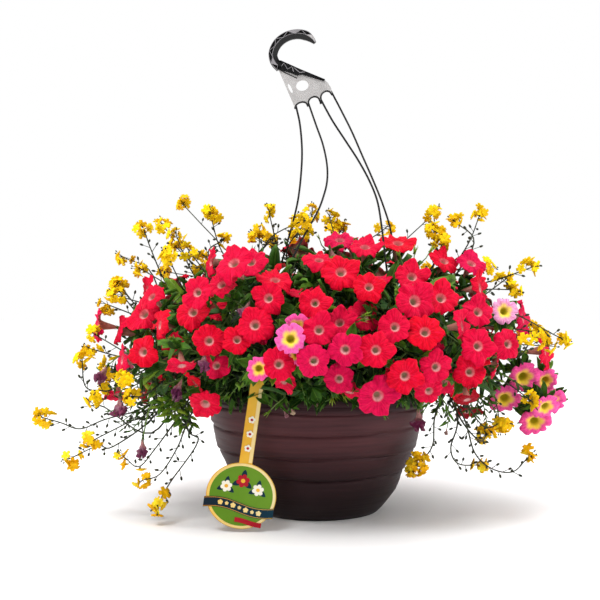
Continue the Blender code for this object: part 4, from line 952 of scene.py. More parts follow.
def petal_group():
    """Shared petal pattern: a throat, a pale ring made lighter on the lower lip as painted light, the petal
    with veins and pinker streaks that sit on the fold crests as partly painted highlight, darker vein colour
    in the fold troughs as painted shade, and its back.
    """
    tree = bpy.data.node_groups.new("petal_pattern", "ShaderNodeTree")
    for names, kind, way in ((PETAL_COLOURS, "Color", "INPUT"), (PETAL_VALUES, "Float", "INPUT"),
                             (("Colour",), "Color", "OUTPUT"), (("Height",), "Float", "OUTPUT")):
        for name in names:
            tree.interface.new_socket(name, in_out=way, socket_type="NodeSocket" + kind)
    look = Nodes(tree)
    given = tree.nodes.new("NodeGroupInput").outputs
    place = look.mapped()
    is_back = look.maths("GREATER_THAN", place["X"], BACK_SHIFT / 2)
    x, y = look.less(place["X"], look.times(is_back, BACK_SHIFT)), place["Y"]
    angle = look.maths("ARCTAN2", y, x)
    reach = look.maths("SQRT", look.plus(look.times(x, x), look.times(y, y)))
    tone, cloud = look.tone(), look.noise(260.0)
    polar = {"X": look.times(angle, 5.5), "Y": look.times(reach, 1.3), "Z": look.times(tone, 17.0)}
    rays = look.noise(1.5, 4.0, 0.6, look.node("CombineXYZ", polar).outputs["Vector"])
    wobble = look.times(look.less(cloud, 0.5), 5.0)
    vein = look.crest(look.plus(look.times(angle, given["Vein count"]), wobble), 5.0)
    petal = look.mix(tone, given["Petal"], given["Other petal"])
    petal = look.mix(look.span(tone, 0.8, 0.95), petal, given["Pale"])
    # pinker streaks on the fold crests: partly the petal's own streaks, partly painted highlight
    streaks_and_crest_highlight = look.times(look.span(rays, 0.50, 0.68), look.times(look.span(reach, 1.05, 0.20), 0.9))
    petal = look.mix(streaks_and_crest_highlight, petal, given["Streak and crest highlight"])
    # vein colour where the folds sink: painted shade in the fold troughs
    petal = look.mix(look.times(look.span(rays, 0.48, 0.32), 0.55), petal, given["Vein and fold shade"])
    petal = look.shaded(petal, look.span(tone, -0.5, 0.0, 0.42))
    petal = look.shaded(petal, look.span(cloud, 0.3, 0.7, 0.80, 1.08))
    veined = look.times(look.times(vein, look.span(reach, 0.95, 0.25)), given["Vein strength"])
    petal = look.mix(veined, petal, given["Vein and fold shade"])
    rim = look.less(reach, look.times(look.maths("COSINE", look.times(angle, 5.0)), given["Star"]))
    ring_start, smooth = given["Ring start"], {"interpolation_type": "SMOOTHSTEP"}
    ring = look.span(rim, given["Ring end"], ring_start, **smooth)
    # the ring stays whole on the lower lip and is weaker above: painted light on the lower lip
    up = look.maths("DIVIDE", y, look.maths("MAXIMUM", reach, 0.01))
    low = look.span(up, -1.0, 0.3, 1.0, given["Upper ring share, painted lip light"])
    ring = look.times(ring, look.times(low, look.span(rays, 0.35, 0.60, 0.72)))
    deep = look.span(reach, ring_start, look.times(ring_start, 0.55), **smooth)
    colour = look.mix(deep, look.mix(ring, petal, given["Ring"]), given["Throat"])
    back = look.mix(look.times(vein, 0.22), given["Back"], given["Vein and fold shade"])
    back = look.mix(look.span(reach, 0.42, 1.1), back, petal)
    out = tree.nodes.new("NodeGroupOutput").inputs
    tree.links.new(look.mix(is_back, colour, back), out["Colour"])
    folds = look.plus(rays, look.times(cloud, 0.25))
    tree.links.new(look.less(folds, look.times(vein, 0.15)), out["Height"])
    return tree


def petal_finish(kind, group):
    """Velvety petal in its own colours."""
    colours, values, sheen, fold = PETALS[kind]
    look = Finish(kind + "_petal", Roughness=0.60, Sheen_Weight=0.08, Sheen_Roughness=0.45,
                  Sheen_Tint=(*sheen, 1), Specular_IOR_Level=0.06)
    pattern = look.tree.nodes.new("ShaderNodeGroup")
    pattern.node_tree = group
    for key, colour in zip(PETAL_COLOURS, colours):
        pattern.inputs[key].default_value = (*colour, 1)
    for key, value in zip(PETAL_VALUES, values):
        pattern.inputs[key].default_value = value
    return look.done(pattern.outputs["Colour"], pattern.outputs["Height"], 0.6, fold)


def leaf_finish():
    """Soft green leaf with a pale midrib and side veins; its tone runs from nearly black to yellow green, and
    its darker tones serve as painted shade for leaves deep in the mound.
    """
    look = Finish("leaf_green", Roughness=0.52, Specular_IOR_Level=0.16, Sheen_Weight=0.03)
    place = look.mapped()
    across, cloud = look.maths("ABSOLUTE", place["X"]), look.noise(120.0)
    base = look.ramp(look.tone(), (0.0, (0.002, 0.010, 0.001)), (0.30, (0.011, 0.056, 0.003)),
                     (0.65, (0.064, 0.180, 0.008)), (1.0, (0.250, 0.350, 0.020)))
    mottle = look.ramp(cloud, (0.25, (0.62, 0.62, 0.62)), (0.75, (1.25, 1.25, 1.15)))
    base = look.mix(1.0, base, mottle, "MULTIPLY")
    side = look.crest(look.less(look.times(place["Y"], 46.0), look.times(across, 60.0)), 8.0)
    veins = look.maths("MAXIMUM", look.span(across, 0.030, 0.008), look.times(side, 0.35))
    colour = look.mix(look.times(veins, 0.7), base, look.mix(0.5, base, (0.20, 0.34, 0.050)))
    return look.done(colour, look.less(cloud, veins), 0.5, 0.0008)


def stem_finish(name, low, high):
    """Stem whose colour runs between two greens."""
    look = Finish(name, Roughness=0.5, Specular_IOR_Level=0.3)
    look.feed("Base Color", look.ramp(look.noise(90.0), (0.3, low), (0.7, high)))
    return look.material


def wilted_finish():
    """Papery maroon and purple of a spent bloom, with a paler tube."""
    look = Finish("petunia_wilted", Roughness=0.7, Specular_IOR_Level=0.15)
    base = look.ramp(look.tone(), (0.0, (0.20, 0.010, 0.050)), (0.5, (0.11, 0.012, 0.065)),
                     (0.75, (0.30, 0.060, 0.14)), (1.0, (0.74, 0.58, 0.36)))
    base = look.mix(look.span(look.mapped()["Y"], 0.62, 0.38, 0.0, 0.85), base, (0.62, 0.30, 0.26))
    base = look.mix(look.span(look.noise(130.0), 0.52, 0.66, 0.0, 0.7), base, (0.50, 0.26, 0.34))
    folds = look.noise(420.0)
    return look.done(look.mix(look.times(folds, 0.8), base, (0.035, 0.006, 0.016)), folds, 1.0, 0.0014)


def pot_finish():
    """Dark espresso plastic: fine turning lines, a redder painted sheen on the bands, and painted shade that
    makes it nearly black near the base and darker just under the rim.
    """
    look = Finish("pot_brown", Specular_IOR_Level=0.30, Specular_Tint=(1.0, 0.62, 0.66, 1))
    lines = look.noise(5.0, 6.0, 0.62, look.where((1.6, 1.6, 55.0)))
    wide = look.noise(5.0, 3.0, 0.5, look.where((1, 1, 9)))
    share = look.span(look.parts(look.where())["Z"], 0.0, POT_TOP)
    # painted shade and painted sheen by height: darkest at the base, lightest on the upper bands, darker
    # again under the rim
    deep, sheen = look.ramp(share, *POT_BODY_PAINTED_SHADE), look.ramp(share, *POT_PAINTED_SHEEN)
    factor = look.times(look.plus(look.span(wide, 0.40, 0.66), look.span(lines, 0.35, 0.70)), 0.5)
    look.feed("Roughness", look.span(lines, 0.0, 1.0, 0.42, 0.66))
    return look.done(look.mix(factor, deep, sheen), lines, 0.5, 0.0012)


def soil_finish():
    """Peaty mix: dark crumbs with pale specks."""
    look = Finish("soil_mix", Roughness=0.95, Specular_IOR_Level=0.1)
    crumbs = look.noise(160.0, 8.0, 0.7)
    specks = look.node("TexVoronoi", {"Vector": look.where(), "Scale": 170.0}).outputs["Distance"]
    colour = look.ramp(crumbs, (0.3, (0.012, 0.007, 0.004)), (0.55, (0.045, 0.026, 0.015)),
                       (0.8, (0.095, 0.060, 0.036)))
    return look.done(look.mix(look.span(specks, 0.10, 0.05), colour, (0.55, 0.50, 0.42)), crumbs, 1.0, 0.004)


def plastic_finish(name, colour, rough, shine):
    """Moulded plastic with small changes of gloss and a fine grain."""
    look = Finish(name, Specular_IOR_Level=shine)
    cloud = look.noise(60.0)
    look.feed("Roughness", look.span(cloud, 0.0, 1.0, rough - 0.08, rough + 0.10))
    lighter = [c * 1.25 + 0.002 for c in colour]
    return look.done(look.ramp(cloud, (0.3, colour), (0.75, lighter)), look.noise(90.0), 0.05, 0.0002)


def card_finish(name, first, second):
    """Printed card whose ink runs between two colours across it."""
    look = Finish(name, Roughness=0.32, Specular_IOR_Level=0.12)
    across = look.span(look.parts(look.where())["X"], TAG_CENTRE.x - TAG_RADIUS, TAG_CENTRE.x + TAG_RADIUS)
    grain = look.times(look.less(look.noise(90.0), 0.5), 0.5)
    return look.done(look.mix(look.plus(across, grain), first, second), look.noise(900.0), 0.08, 0.0002)


# Pot and soil

def fit(pieces, node_name):
    """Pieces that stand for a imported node."""
    for piece in pieces:
        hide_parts(node_name)
        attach(piece, "root")


def band_height(angle, height):
    """How far the wall stands out at a place: swaying grooves with lips above them, and small unevenness."""
    grow = 0.0
    for k, line in enumerate(BAND_LINES):
        sway = 0.0014 * math.sin(2 * angle + 2.3 * k) + 0.0008 * math.sin(5 * angle + 4.1 * k)
        above = height - line - sway
        grow -= GROOVE_DEPTH * math.exp(-(above / GROOVE_HEIGHT) ** 2)
        grow += LIP * math.exp(-((above - 0.0045) / 0.0030) ** 2)
    return grow + 0.0005 * noise.noise(Vector((3 * math.cos(angle), 3 * math.sin(angle), 160 * height)))


def make_pot(material):
    """Turned pot with its uneven band lines and drain holes."""
    start = next(k for k, (_, z) in enumerate(POT_OUTSIDE) if z > BANDS_FROM)
    stop = next(k for k, (_, z) in enumerate(POT_OUTSIDE) if z > BANDS_TO)
    outside = POT_OUTSIDE[:start] + finely(POT_OUTSIDE[start:stop], PROFILE_STEP) + POT_OUTSIDE[stop:]
    work = turned([(0.0, 0.0)] + outside + POT_INSIDE + [(0.0, POT_FLOOR)], POT_STEPS)
    inner = {rounded(*place) for place in POT_INSIDE}
    for vert in work.verts:
        x, y, z = vert.co
        reach = math.hypot(x, y)
        if reach >= BANDS_OUT and z <= BANDS_TO + 0.002 and rounded(reach, z) not in inner:
            grow = 1 + band_height(math.atan2(y, x), z) / reach
            vert.co = Vector((x * grow, y * grow, z))
    pot = mesh_piece("pot_turned", work, [material])
    cutters = bmesh.new()
    for k in range(DRAIN_COUNT):
        angle = math.tau * (k + 0.5) / DRAIN_COUNT
        place = Matrix.Translation((DRAIN_CIRCLE * math.cos(angle), DRAIN_CIRCLE * math.sin(angle), 0.001))
        bmesh.ops.create_cone(cutters, cap_ends=True, segments=24, radius1=DRAIN_RADIUS, radius2=DRAIN_RADIUS,
                              depth=0.02, matrix=place)
    drains = mesh_piece("drains", cutters, [material])
    cut = pot.modifiers.new("drains", "BOOLEAN")
    cut.operation, cut.solver, cut.object = "DIFFERENCE", "EXACT", drains
    pot.data = worked_out(pot)
    pot.modifiers.clear()
    bpy.data.objects.remove(drains)
    pot.data.set_sharp_from_angle(angle=math.radians(38))
    return pot


def make_soil(material):
    """Crumbly top of the potting mix, down inside the pot."""
    rings = [(SOIL_RADIUS * k / SOIL_RINGS, SOIL_TOP) for k in range(SOIL_RINGS + 1)]
    profile = rings + [(0.1320, 0.0870), (0.1155, 0.0560), (0.0880, 0.0095), (0.0, 0.0095)]
    work = turned(profile, 96)
    for vert in work.verts:
        if vert.co.z > SOIL_TOP - 0.0001 and math.hypot(vert.co.x, vert.co.y) < SOIL_RADIUS - 0.001:
            vert.co.z += 0.0030 * noise.noise(vert.co * 120) + 0.0022 * noise.noise(vert.co * 330) - 0.0010
    return mesh_piece("soil_mix", work, [material])


# Hanger

def slab(outline, holes, thickness):
    """Flat outline in X and Z with holes, thickened evenly about Y."""
    work = bmesh.new()
    for ring in [outline] + holes:
        corners = [work.verts.new((x, -thickness / 2, z)) for x, z in ring]
        for a, b in zip(corners, corners[1:] + corners[:1]):
            work.edges.new((a, b))
    bmesh.ops.triangle_fill(work, use_beauty=True, use_dissolve=False, edges=work.edges[:], normal=(0, -1, 0))
    grown = bmesh.ops.extrude_face_region(work, geom=work.faces[:])["geom"]
    back = [part for part in grown if isinstance(part, bmesh.types.BMVert)]
    bmesh.ops.translate(work, vec=(0, thickness, 0), verts=back)
    bmesh.ops.recalc_face_normals(work, faces=work.faces)
    return work


def hook_work():
    """Hook: a deep band, its underside sloped to a smooth edge, with zigzag ribs in its two sides; the rib
    tops and every fifth cell carry a painted glint, and the cells near the tip a painted grey highlight.
    """
    line = smooth_line([seen_at(u, v) for u, v in HOOK_LINE], HOOK_STEPS)
    last = len(line) - 1
    work = bmesh.new()
    rows = []
    for index, point in enumerate(line):
        run = (line[min(index + 1, last)] - line[max(index - 1, 0)]).normalized()
        side = Vector((-run.z, 0, run.x))
        grown = min(1.0, 0.34 + 0.11 * index)
        half, deep = HOOK_WIDTH / 2 * grown, HOOK_DEPTH / 2 * min(1.0, grown + 0.2)
        corners = ((1, -1), (1, 1), (0.05, 1), (-1, 0.35), (-1, -0.35), (0.05, -1))
        rows.append([work.verts.new(point - side * s * half + Vector((0, t * deep, 0))) for s, t in corners])
    for a, b in zip(rows, rows[1:]):
        for k in (0, 2, 3, 4):
            work.faces.new((a[k], a[k + 1], b[k + 1], b[k]))
    cells = []
    for near, far in ((0, 5), (1, 2)):
        for start in range(0, last, HOOK_CELL):
            half = min(start + HOOK_CELL // 2, last)
            stop = min(start + HOOK_CELL, last)
            cells.append(work.faces.new([rows[k][near] for k in range(start, stop + 1)] + [rows[half][far]]))
        for start in range(-HOOK_CELL // 2, last, HOOK_CELL):
            half = start + HOOK_CELL // 2
            low, high = max(start, 0), min(start + HOOK_CELL, last)
            inner = [rows[k][far] for k in range(low, high + 1)]
            if half <= last and len(inner) > 1:
                cells.append(work.faces.new(inner + [rows[half][near]]))
    work.faces.new(rows[0])
    work.faces.new(list(reversed(rows[-1])))
    cleaned(work)
    big = [f for f in cells if f.is_valid and f.calc_area() > 0.000008]
    bmesh.ops.inset_individual(work, faces=big, thickness=0.0007, depth=0.0)
    # the rims left round the cells are the rib tops, given the lighter plastic as a painted glint
    painted_glint_rims = {f for f in work.faces if abs(f.normal.y) > 0.9} - set(big)
    for face in painted_glint_rims:
        face.material_index = 1
    # cells near the tip get the grey plastic as a painted highlight, and every fifth cell a painted glint;
    # these stay flat
    tip = {f for f in big if f.calc_center_median().x > line[0].x - HOOK_TIP_HIGHLIGHT}
    light = [f for k, f in enumerate(big) if k % 5 == 2 or f in tip]
    for face in light:
        face.material_index = 2 if face in tip else 1
    sunk = [f for f in big if f not in light]
    bmesh.ops.inset_individual(work, faces=sunk, thickness=0.0001, depth=-0.0030)
    return work


def strand_line(name):
    """Line of one strand, from the plate down to its clip."""
    angle = math.radians(CLIP_ANGLES[name])
    out, high = STRAND_END
    end = Vector((out * POT_FLAT * math.cos(angle), out * POT_FLAT * math.sin(angle), high))
    points = []
    for u, v in STRANDS[name]:
        share = max(0.0, (STRAND_HIGH - seen_at(u, v).z) / (STRAND_HIGH - end.z))
        points.append(seen_at(u, v, end.y * min(share, 1.0) ** STRAND_CURVE))
    return points + [end + UP * CLIP_RISE, end]


def bevelled(work, width, segments=2):
    """Rounds the sharp edges of a worked mesh."""
    sharp = [e for e in work.edges if len(e.link_faces) == 2 and e.calc_face_angle(0) > math.radians(35)]
    bmesh.ops.bevel(work, geom=sharp, offset=width, segments=segments, profile=0.5, affect="EDGES",
                    material=-1, clamp_overlap=True)
    return work


def turned_place(x, z, a, b, turn):
    """Place that lies a across and b up from a middle, in axes turned about it."""
    return x + a * math.cos(turn) - b * math.sin(turn), z + a * math.sin(turn) + b * math.cos(turn)


def oval(middle, across, up, turn):
    """Outline of an oval hole."""
    point = seen_at(*middle)
    angles = [math.tau * k / HOLE_STEPS for k in range(HOLE_STEPS)]
    return [turned_place(point.x, point.z, across * math.cos(a), up * math.sin(a), turn) for a in angles]


def flat_places(places):
    """Places in the picture as X and Z at the depth of the pot's axis."""
    return [(seen_at(u, v).x, seen_at(u, v).z) for u, v in places]


def ribs(lines, depth, radius):
    """Thin ribs along lines of the picture, on the front and the back of a part that is so deep."""
    sides = []
    for side in (-1, 1):
        shift = Vector((0, side * depth, 0))
        sides.append(tubes([even([seen_at(u, v) + shift for u, v in line], radius) for line in lines]))
    return sides


def make_hanger(black, painted_glint, grey):
    """Hook and ridge, the plate with its holes, and four strands with their clips."""
    lower = [place for arch in reversed(ARCHES) for place in reversed(arch)]
    plate = slab(flat_places(PLATE_TOP + lower), [oval(*hole) for hole in PLATE_HOLES], PLATE_DEPTH)
    plate_piece = mesh_piece("hanger_plate", bevelled(plate, 0.0003), [grey], smooth=False)
    hook_piece = mesh_piece("hook_ribbed", hook_work(), [black, painted_glint, grey], smooth=False)
    ridge = slab(flat_places(RIDGE), [], HOOK_DEPTH * 0.8)
    caps = [f for f in ridge.faces if abs(f.normal.y) > 0.9]
    bmesh.ops.inset_region(ridge, faces=caps, thickness=0.0011, depth=-0.0022)
    ridge_ribs = Bunch()
    ridge_ribs.put(Shape(bevelled(ridge, 0.0002, 1)))
    # ribs across the ridge's cap in the lighter plastic: painted glints
    for side in ribs(RIDGE_RIBS, HOOK_DEPTH * 0.4 - 0.0018, RIDGE_RIB_RADIUS):
        ridge_ribs.put(side, slot=1)
    ridge_piece = ridge_ribs.piece("hook_ridge", [black, painted_glint], smooth=False)
    strands = Bunch()
    for side in ribs((RIB, *GUSSETS), PLATE_DEPTH / 2, RIB_RADIUS):
        strands.put(side)
    arches = [smooth_line([seen_at(u, v) for u, v in arch], 4) for arch in ARCHES]
    strands.put(tubes([even(arch, ARCH_RADIUS) for arch in arches], 2))
    for name in STRANDS:
        strands.put(tubes([even(smooth_line(strand_line(name), 6), STRAND_RADIUS)], 2))
        clip = bevelled(slab([(r * POT_FLAT, z) for r, z in CLIP_OUTLINE], [], CLIP_WIDTH), 0.0004)
        about = Matrix.Rotation(math.radians(CLIP_ANGLES[name]), 3, "Z")
        bmesh.ops.rotate(clip, matrix=about, verts=clip.verts)
        strands.put(Shape(clip))
    strand_piece = strands.piece("hanger_strands", [black])
    strand_piece.data.set_sharp_from_angle(angle=math.radians(35))
    fit([plate_piece, strand_piece], "hanger")
    fit([hook_piece, ridge_piece], "hanger_hook")


# Tag

def tag_place():
    """Place and lean of the tag."""
    return Matrix.Translation(TAG_CENTRE) @ Matrix.Rotation(TAG_LEAN, 4, "Y")


def disc_outline(radius, steps=96, x=0.0, z=0.0):
    """Nearly round outline in X and Z about a place, a little lower than wide."""
    turns = [math.tau * k / steps for k in range(steps)]
    return [(x + radius * math.sin(a), z + radius * math.cos(a) * DISC_SQUASH) for a in turns]


def dip(share, sag):
    """How far a ribbon is above its level line at a share of its length."""
    return sag * math.sin(math.tau * share) * 0.5 - 0.0035 * share


def ribbon(left, right, low, high, sag, steps=18):
    """Outline of a ribbon that dips between two ends, as across and up in the tag's own plane."""
    line = [(left + (right - left) * k / steps, dip(k / steps, sag)) for k in range(steps + 1)]
    return [(x, high + z) for x, z in line] + [(x, low + z) for x, z in reversed(line)]


def printed(outline, level):
    """Thin printed shape on the tag's front, one ink step above another."""
    work = slab(outline, [], INK)
    bmesh.ops.translate(work, vec=(0, -TAG_THICK / 2 - INK * (level + 0.5) - 0.0001, 0), verts=work.verts)
    bmesh.ops.transform(work, matrix=tag_place(), verts=work.verts)
    return Shape(work)


def blossom_outline(x, z, radius, petals, turn):
    """Rounded flower outline."""
    ring = []
    for k in range(petals * 8):
        angle = math.tau * k / (petals * 8)
        reach = radius * (0.70 + 0.30 * abs(math.cos(petals * angle / 2)) ** 0.7)
        ring.append((x + reach * math.cos(angle + turn), z + reach * math.sin(angle + turn)))
    return ring


def leaf_outline(x, z, length, turn):
    """Pointed leaf outline."""
    ring = []
    for k in range(20):
        share = k / 10 if k < 10 else (20 - k) / 10
        side = 1 if k < 10 else -1
        half = side * length * 0.24 * math.sin(math.pi * share) ** 0.8
        ring.append(turned_place(x, z, length * share, half, turn))
    return ring


def tag_work():
    """Card: the disc, and its strip up, over the rim and down into the soil."""
    half = STRIP_WIDTH / 2
    start = math.asin(half / TAG_RADIUS)
    angles = [start + (math.tau - 2 * start) * k / TAG_STEPS for k in range(TAG_STEPS + 1)]
    work = bmesh.new()
    edge = [(TAG_RADIUS * math.sin(a), 0, TAG_RADIUS * math.cos(a) * DISC_SQUASH) for a in angles]
    disc = [work.verts.new(place) for place in edge]
    work.faces.new(disc)
    last = [disc[-1], disc[0]]
    turns = [math.pi * k / BEND_STEPS for k in range(BEND_STEPS + 1)]
    bend = [(STRIP_BEND * (1 - math.cos(a)), STRIP_TOP + STRIP_BEND * math.sin(a)) for a in turns]
    for y, z in bend + [(2 * STRIP_BEND, STRIP_END)]:
        pair = [work.verts.new((-half, y, z)), work.verts.new((half, y, z))]
        work.faces.new([last[0], pair[0], pair[1], last[1]])
        last = pair
    bmesh.ops.recalc_face_normals(work, faces=work.faces)
    bmesh.ops.solidify(work, geom=list(work.faces), thickness=TAG_THICK)
    bmesh.ops.recalc_face_normals(work, faces=work.faces)
    bmesh.ops.transform(work, matrix=tag_place(), verts=work.verts)
    return work


def make_tag(finishes):
    """Card with plain printed shapes: a border, a face, ribbons and rows of blossoms and stars."""
    gold, cream, green, blue, red, white = range(6)
    card = Bunch()
    card.put(Shape(tag_work()), slot=gold)

    def ink(outline, level, colour):
        """Prints an outline on the card's front."""
        card.put(printed(outline, level), slot=colour)

    ink(disc_outline(TAG_RADIUS - 0.0008), 0, cream)
    ink(disc_outline(TAG_RADIUS - TAG_BORDER), 1, green)
    for (x, z, size), colour in zip(TAG_BLOSSOMS, (white, red, white)):
        for k in range(3):
            ink(leaf_outline(x, z, size * 1.7, math.tau * k / 3 - 0.6), 2, blue)
        ink(blossom_outline(x, z, size, 6, 0.3), 3, colour)
        ink(disc_outline(size * 0.32, 24, x, z), 4, gold)
    low, high = TAG_RADIUS * DISC_SQUASH + 0.001, STRIP_TOP
    left, right = STRIP_WIDTH / 2 - 0.0048, STRIP_WIDTH / 2 - 0.0004
    ink([(left, low), (right, low), (right, high), (left, high)], 0, cream)
    for z in STRIP_BLOSSOMS:
        ink(blossom_outline(0, z, 0.0046, 5, 0.2), 2, white)
        ink(disc_outline(0.0018, 24, 0, z), 3, red)
    low, high, sag = RIBBON
    for start, stop, level, colour in ((low, high, 5, blue), (low + 0.0008, low + 0.0013, 6, gold),
                                       (high - 0.0014, high - 0.0009, 6, gold)):
        ink(ribbon(-TAG_RADIUS - 0.0015, TAG_RADIUS - 0.001, start, stop, sag), level, colour)
    for k in range(RIBBON_STARS):
        share = 0.22 + 0.56 * k / (RIBBON_STARS - 1)
        x, z = TAG_RADIUS * (2 * share - 1), (low + high) / 2 + dip(share, sag)
        ink(blossom_outline(x, z, 0.0024 if k % 2 else 0.0034, 5, 0.3), 6, cream)
    ink(ribbon(-0.004, 0.030, -0.0330, -0.0270, 0.001), 6, red)
    return card.piece("tag_card", finishes, smooth=False)


# Plants

class Border:
    """All that the stems are dressed with: the shapes, and the places of the blooms."""

    def __init__(self):
        self.petunias = [petunia_shape(k + 1) for k in range(BLOOM_KINDS)]
        self.deep = [petunia_shape(k + 60, DEEP_STEPS) for k in range(5)]
        self.bells = [bell_shape(k + 20) for k in range(3)]
        self.florets = [floret_shape(k + 40) for k in range(5)]
        self.leaves = [leaf_shape(*leaf) for leaf in LEAVES]
        self.plain_leaves = [leaf_shape(*leaf, (2, 5)) for leaf in PLAIN_LEAVES]
        self.twig_leaves = [leaf_shape(*leaf, (1, 3)) for leaf in TWIG_LEAVES]
        self.round_leaf = leaf_shape(0.66, 0.16, 0.10, 0.03, (6, 12), 1.75)
        self.wilted = [wilted_shape(k) for k in range(3)]
        self.calyx = calyx_shape()
        self.bud = bead_shape(1.5)
        self.capsule = bead_shape(1.9)
        self.middles, self.ways, self.reaches = [], [], []

    def note_blooms(self, plants):
        """Keeps the places of all the blooms, so that leaves leave their faces clear."""
        blooms = [bloom for plant in plants for bloom in plant.blooms]
        self.middles = np.array([tuple(bloom[0]) for bloom in blooms])
        self.ways = np.array([tuple(bloom[1]) for bloom in blooms])
        self.reaches = np.array([bloom[2] for bloom in blooms]) * BLOOM_GROWTH

    def shows_clear(self, *points):
        """True if none of some points lies in the face of a bloom or just before it."""
        for point in points:
            away = np.array(point) - self.middles
            ahead = (away * self.ways).sum(axis=1)
            aside = np.linalg.norm(away - self.ways * ahead[:, None], axis=1)
            if ((aside < self.reaches) & (ahead > -0.2 * self.reaches) & (ahead < self.reaches)).any():
                return False
        return True


def put_calyx(bunch, kit, foot, way, size):
    """Calyx at the foot of a bloom."""
    bunch.put(kit.calyx, seat_along(foot - way * 0.002, way, 0.0, size), CALYX_TONE, 1)


def extra(bunch, name, finishes):
    """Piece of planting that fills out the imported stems."""
    piece = bunch.piece(name, finishes)
    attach(piece, "root")


def add_leaf(bunch, kit, base, way, normal, size, tone):
    """One leaf, where it hides no bloom."""
    if kit.shows_clear(base + way * size * 0.5, base + way * size):
        bunch.put(chance.choice(kit.leaves), leaf_seat(base, way, normal, size), tone, 1)


def along(line, share):
    """Point at a share of a line, and the line's way there."""
    place = share * (len(line) - 1)
    index = min(int(place), len(line) - 2)
    return line[index].lerp(line[index + 1], place - index), (line[index + 1] - line[index]).normalized()


def leaves_along(bunch, kit, line, count, sizes, limit=1.03):
    """Leaves along a line, their size running between two from its start to its end."""
    for k in range(count):
        share = (k + between(0.2, 0.8)) / count
        base, run = along(line, share)
        out = outward(base)
        size = sizes[0] + (sizes[1] - sizes[0]) * share
        size *= between(0.8, 1.2)
        for _ in range(LEAF_TRIES):
            way = (run * 0.3 + out * 0.7 + any_way() * 0.85).normalized()
            tip = base + way * size
            if mound_reach(tip) < limit and is_free(tip, base):
                normal = (UP * 0.7 + out * 0.6 + any_way() * 0.35).normalized()
                # leaves deeper in the mound get darker tones: painted shade
                tone = clamped(chance.gauss(0.18 + 0.75 * max(0.0, mound_reach(tip) - 0.60), 0.18))
                add_leaf(bunch, kit, base, way, normal, size, tone)
                break


def bloom_tone(middle):
    """Tone of a bloom: red, or deeper rose, pale or dark at some places in the picture."""
    tone = between(0.0, 0.45)
    if shows_near(middle, ROSE_BLOOMS) or chance.random() < ROSE_SHARE:
        tone = ROSE_TONE
    if shows_near(middle, PALE_BLOOMS):
        tone = PALE_TONE
    if shows_near(middle, DARK_BLOOMS):
        tone = DARK_TONE
    return tone


def dress_bloom(bunch, kit, plant, bloom):
    """Bloom, calyx, small leaves behind it and branch; returns the branch's line."""
    middle, way, reach, line = bloom
    bell = plant.kind == "calibrachoa"
    tone = bloom_tone(middle)
    if bell:
        line = [point + BELL_STEM_BACK for point in line[1:-1]] + line[-1:]
        way = (way + (EYE - middle).normalized() * BELL_TURN * (middle.y < 0.05)).normalized()
        middle = middle + way * BELL_FORWARD
    shape = chance.choice(kit.bells if bell else kit.petunias)
    size = reach * (BELL_GROWTH if bell else BLOOM_GROWTH)
    bunch.put(shape, seat_along(middle, way, between(-0.5, 0.5), size), tone)
    foot = middle - way * (reach * (BELL_LENGTH if bell else BLOOM_LENGTH))
    put_calyx(bunch, kit, foot, way, BELL_CALYX if bell else CALYX)
    rest = line if bell else line[1:]
    path = smooth_line([foot] + rest if rest else [foot, foot - way * 0.01], 5)
    bunch.stem(path, *BRANCH)
    for _ in range(BELL_BACKING if bell else BLOOM_BACKING):
        aside = any_way()
        aside = (aside - way * aside.dot(way)).normalized()
        base = foot - way * between(0.0, 0.012) + aside * 0.003
        leaf_way = (aside + way * between(-0.3, 0.5)).normalized()
        leaf_size = between(*BACKING_SIZE)
        if is_free(base + leaf_way * leaf_size, base):
            add_leaf(bunch, kit, base, leaf_way, way, leaf_size, between(0.25, 0.8))
    return path


def eased(line):
    """Line of a stem whose sharp bends are opened."""
    for k in range(1, len(line) - 1):
        if (line[k - 1] - line[k]).angle(line[k + 1] - line[k]) < SHARP_BEND:
            line[k] = line[k].lerp(line[k - 1].lerp(line[k + 1], 0.5), 0.65)
    return line


def dress_head(bunch, kit, head):
    """Head of florets with buds, and its thin stem with stalked seed capsules."""
    middle, florets, line = head
    path = smooth_line(eased(line), 6) if len(line) > 1 else [middle, middle - UP * 0.01]
    run = (path[0] - path[1]).normalized()
    tone = min(0.8, 0.08 + 0.7 * max(0.0, 0.19 - middle.z) / 0.10)
    seats = [(middle, way, between(*FLORET_OUT)) for way in florets]
    for _ in range(WIDE_FLORETS if shows_near(middle, WIDE_HEADS, 0.5) else LOOSE_FLORETS):
        around = (any_way() + run * 0.35 + UP * 0.25).normalized()
        seats.append((middle - run * between(0.0, 0.010), around, between(*LOOSE_REACH)))
    for root, way, out in seats:
        reach = FLORET_REACH * between(0.75, 1.15)
        place = root + way * out
        face_way = (way + any_way() * 0.55).normalized()
        shade = clamped(tone + chance.choice(FLORET_SHADES))
        bunch.put(chance.choice(kit.florets), seat_along(place, face_way, between(0, math.tau), reach), shade)
        bunch.stem([root, place - face_way * reach * 0.5], *FLORET_STALK)
    for _ in range(BUDS):
        way = (run + any_way() * 0.45).normalized()
        place = middle + way * between(*BUD_OUT)
        bunch.put(kit.bud, seat_along(place, way, 0.0, BUD), 0.9, 2)
        bunch.stem([middle, place], *BUD_STALK)
    bunch.stem(path, *HEAD_STEM)
    capsules_along(bunch, kit, path)


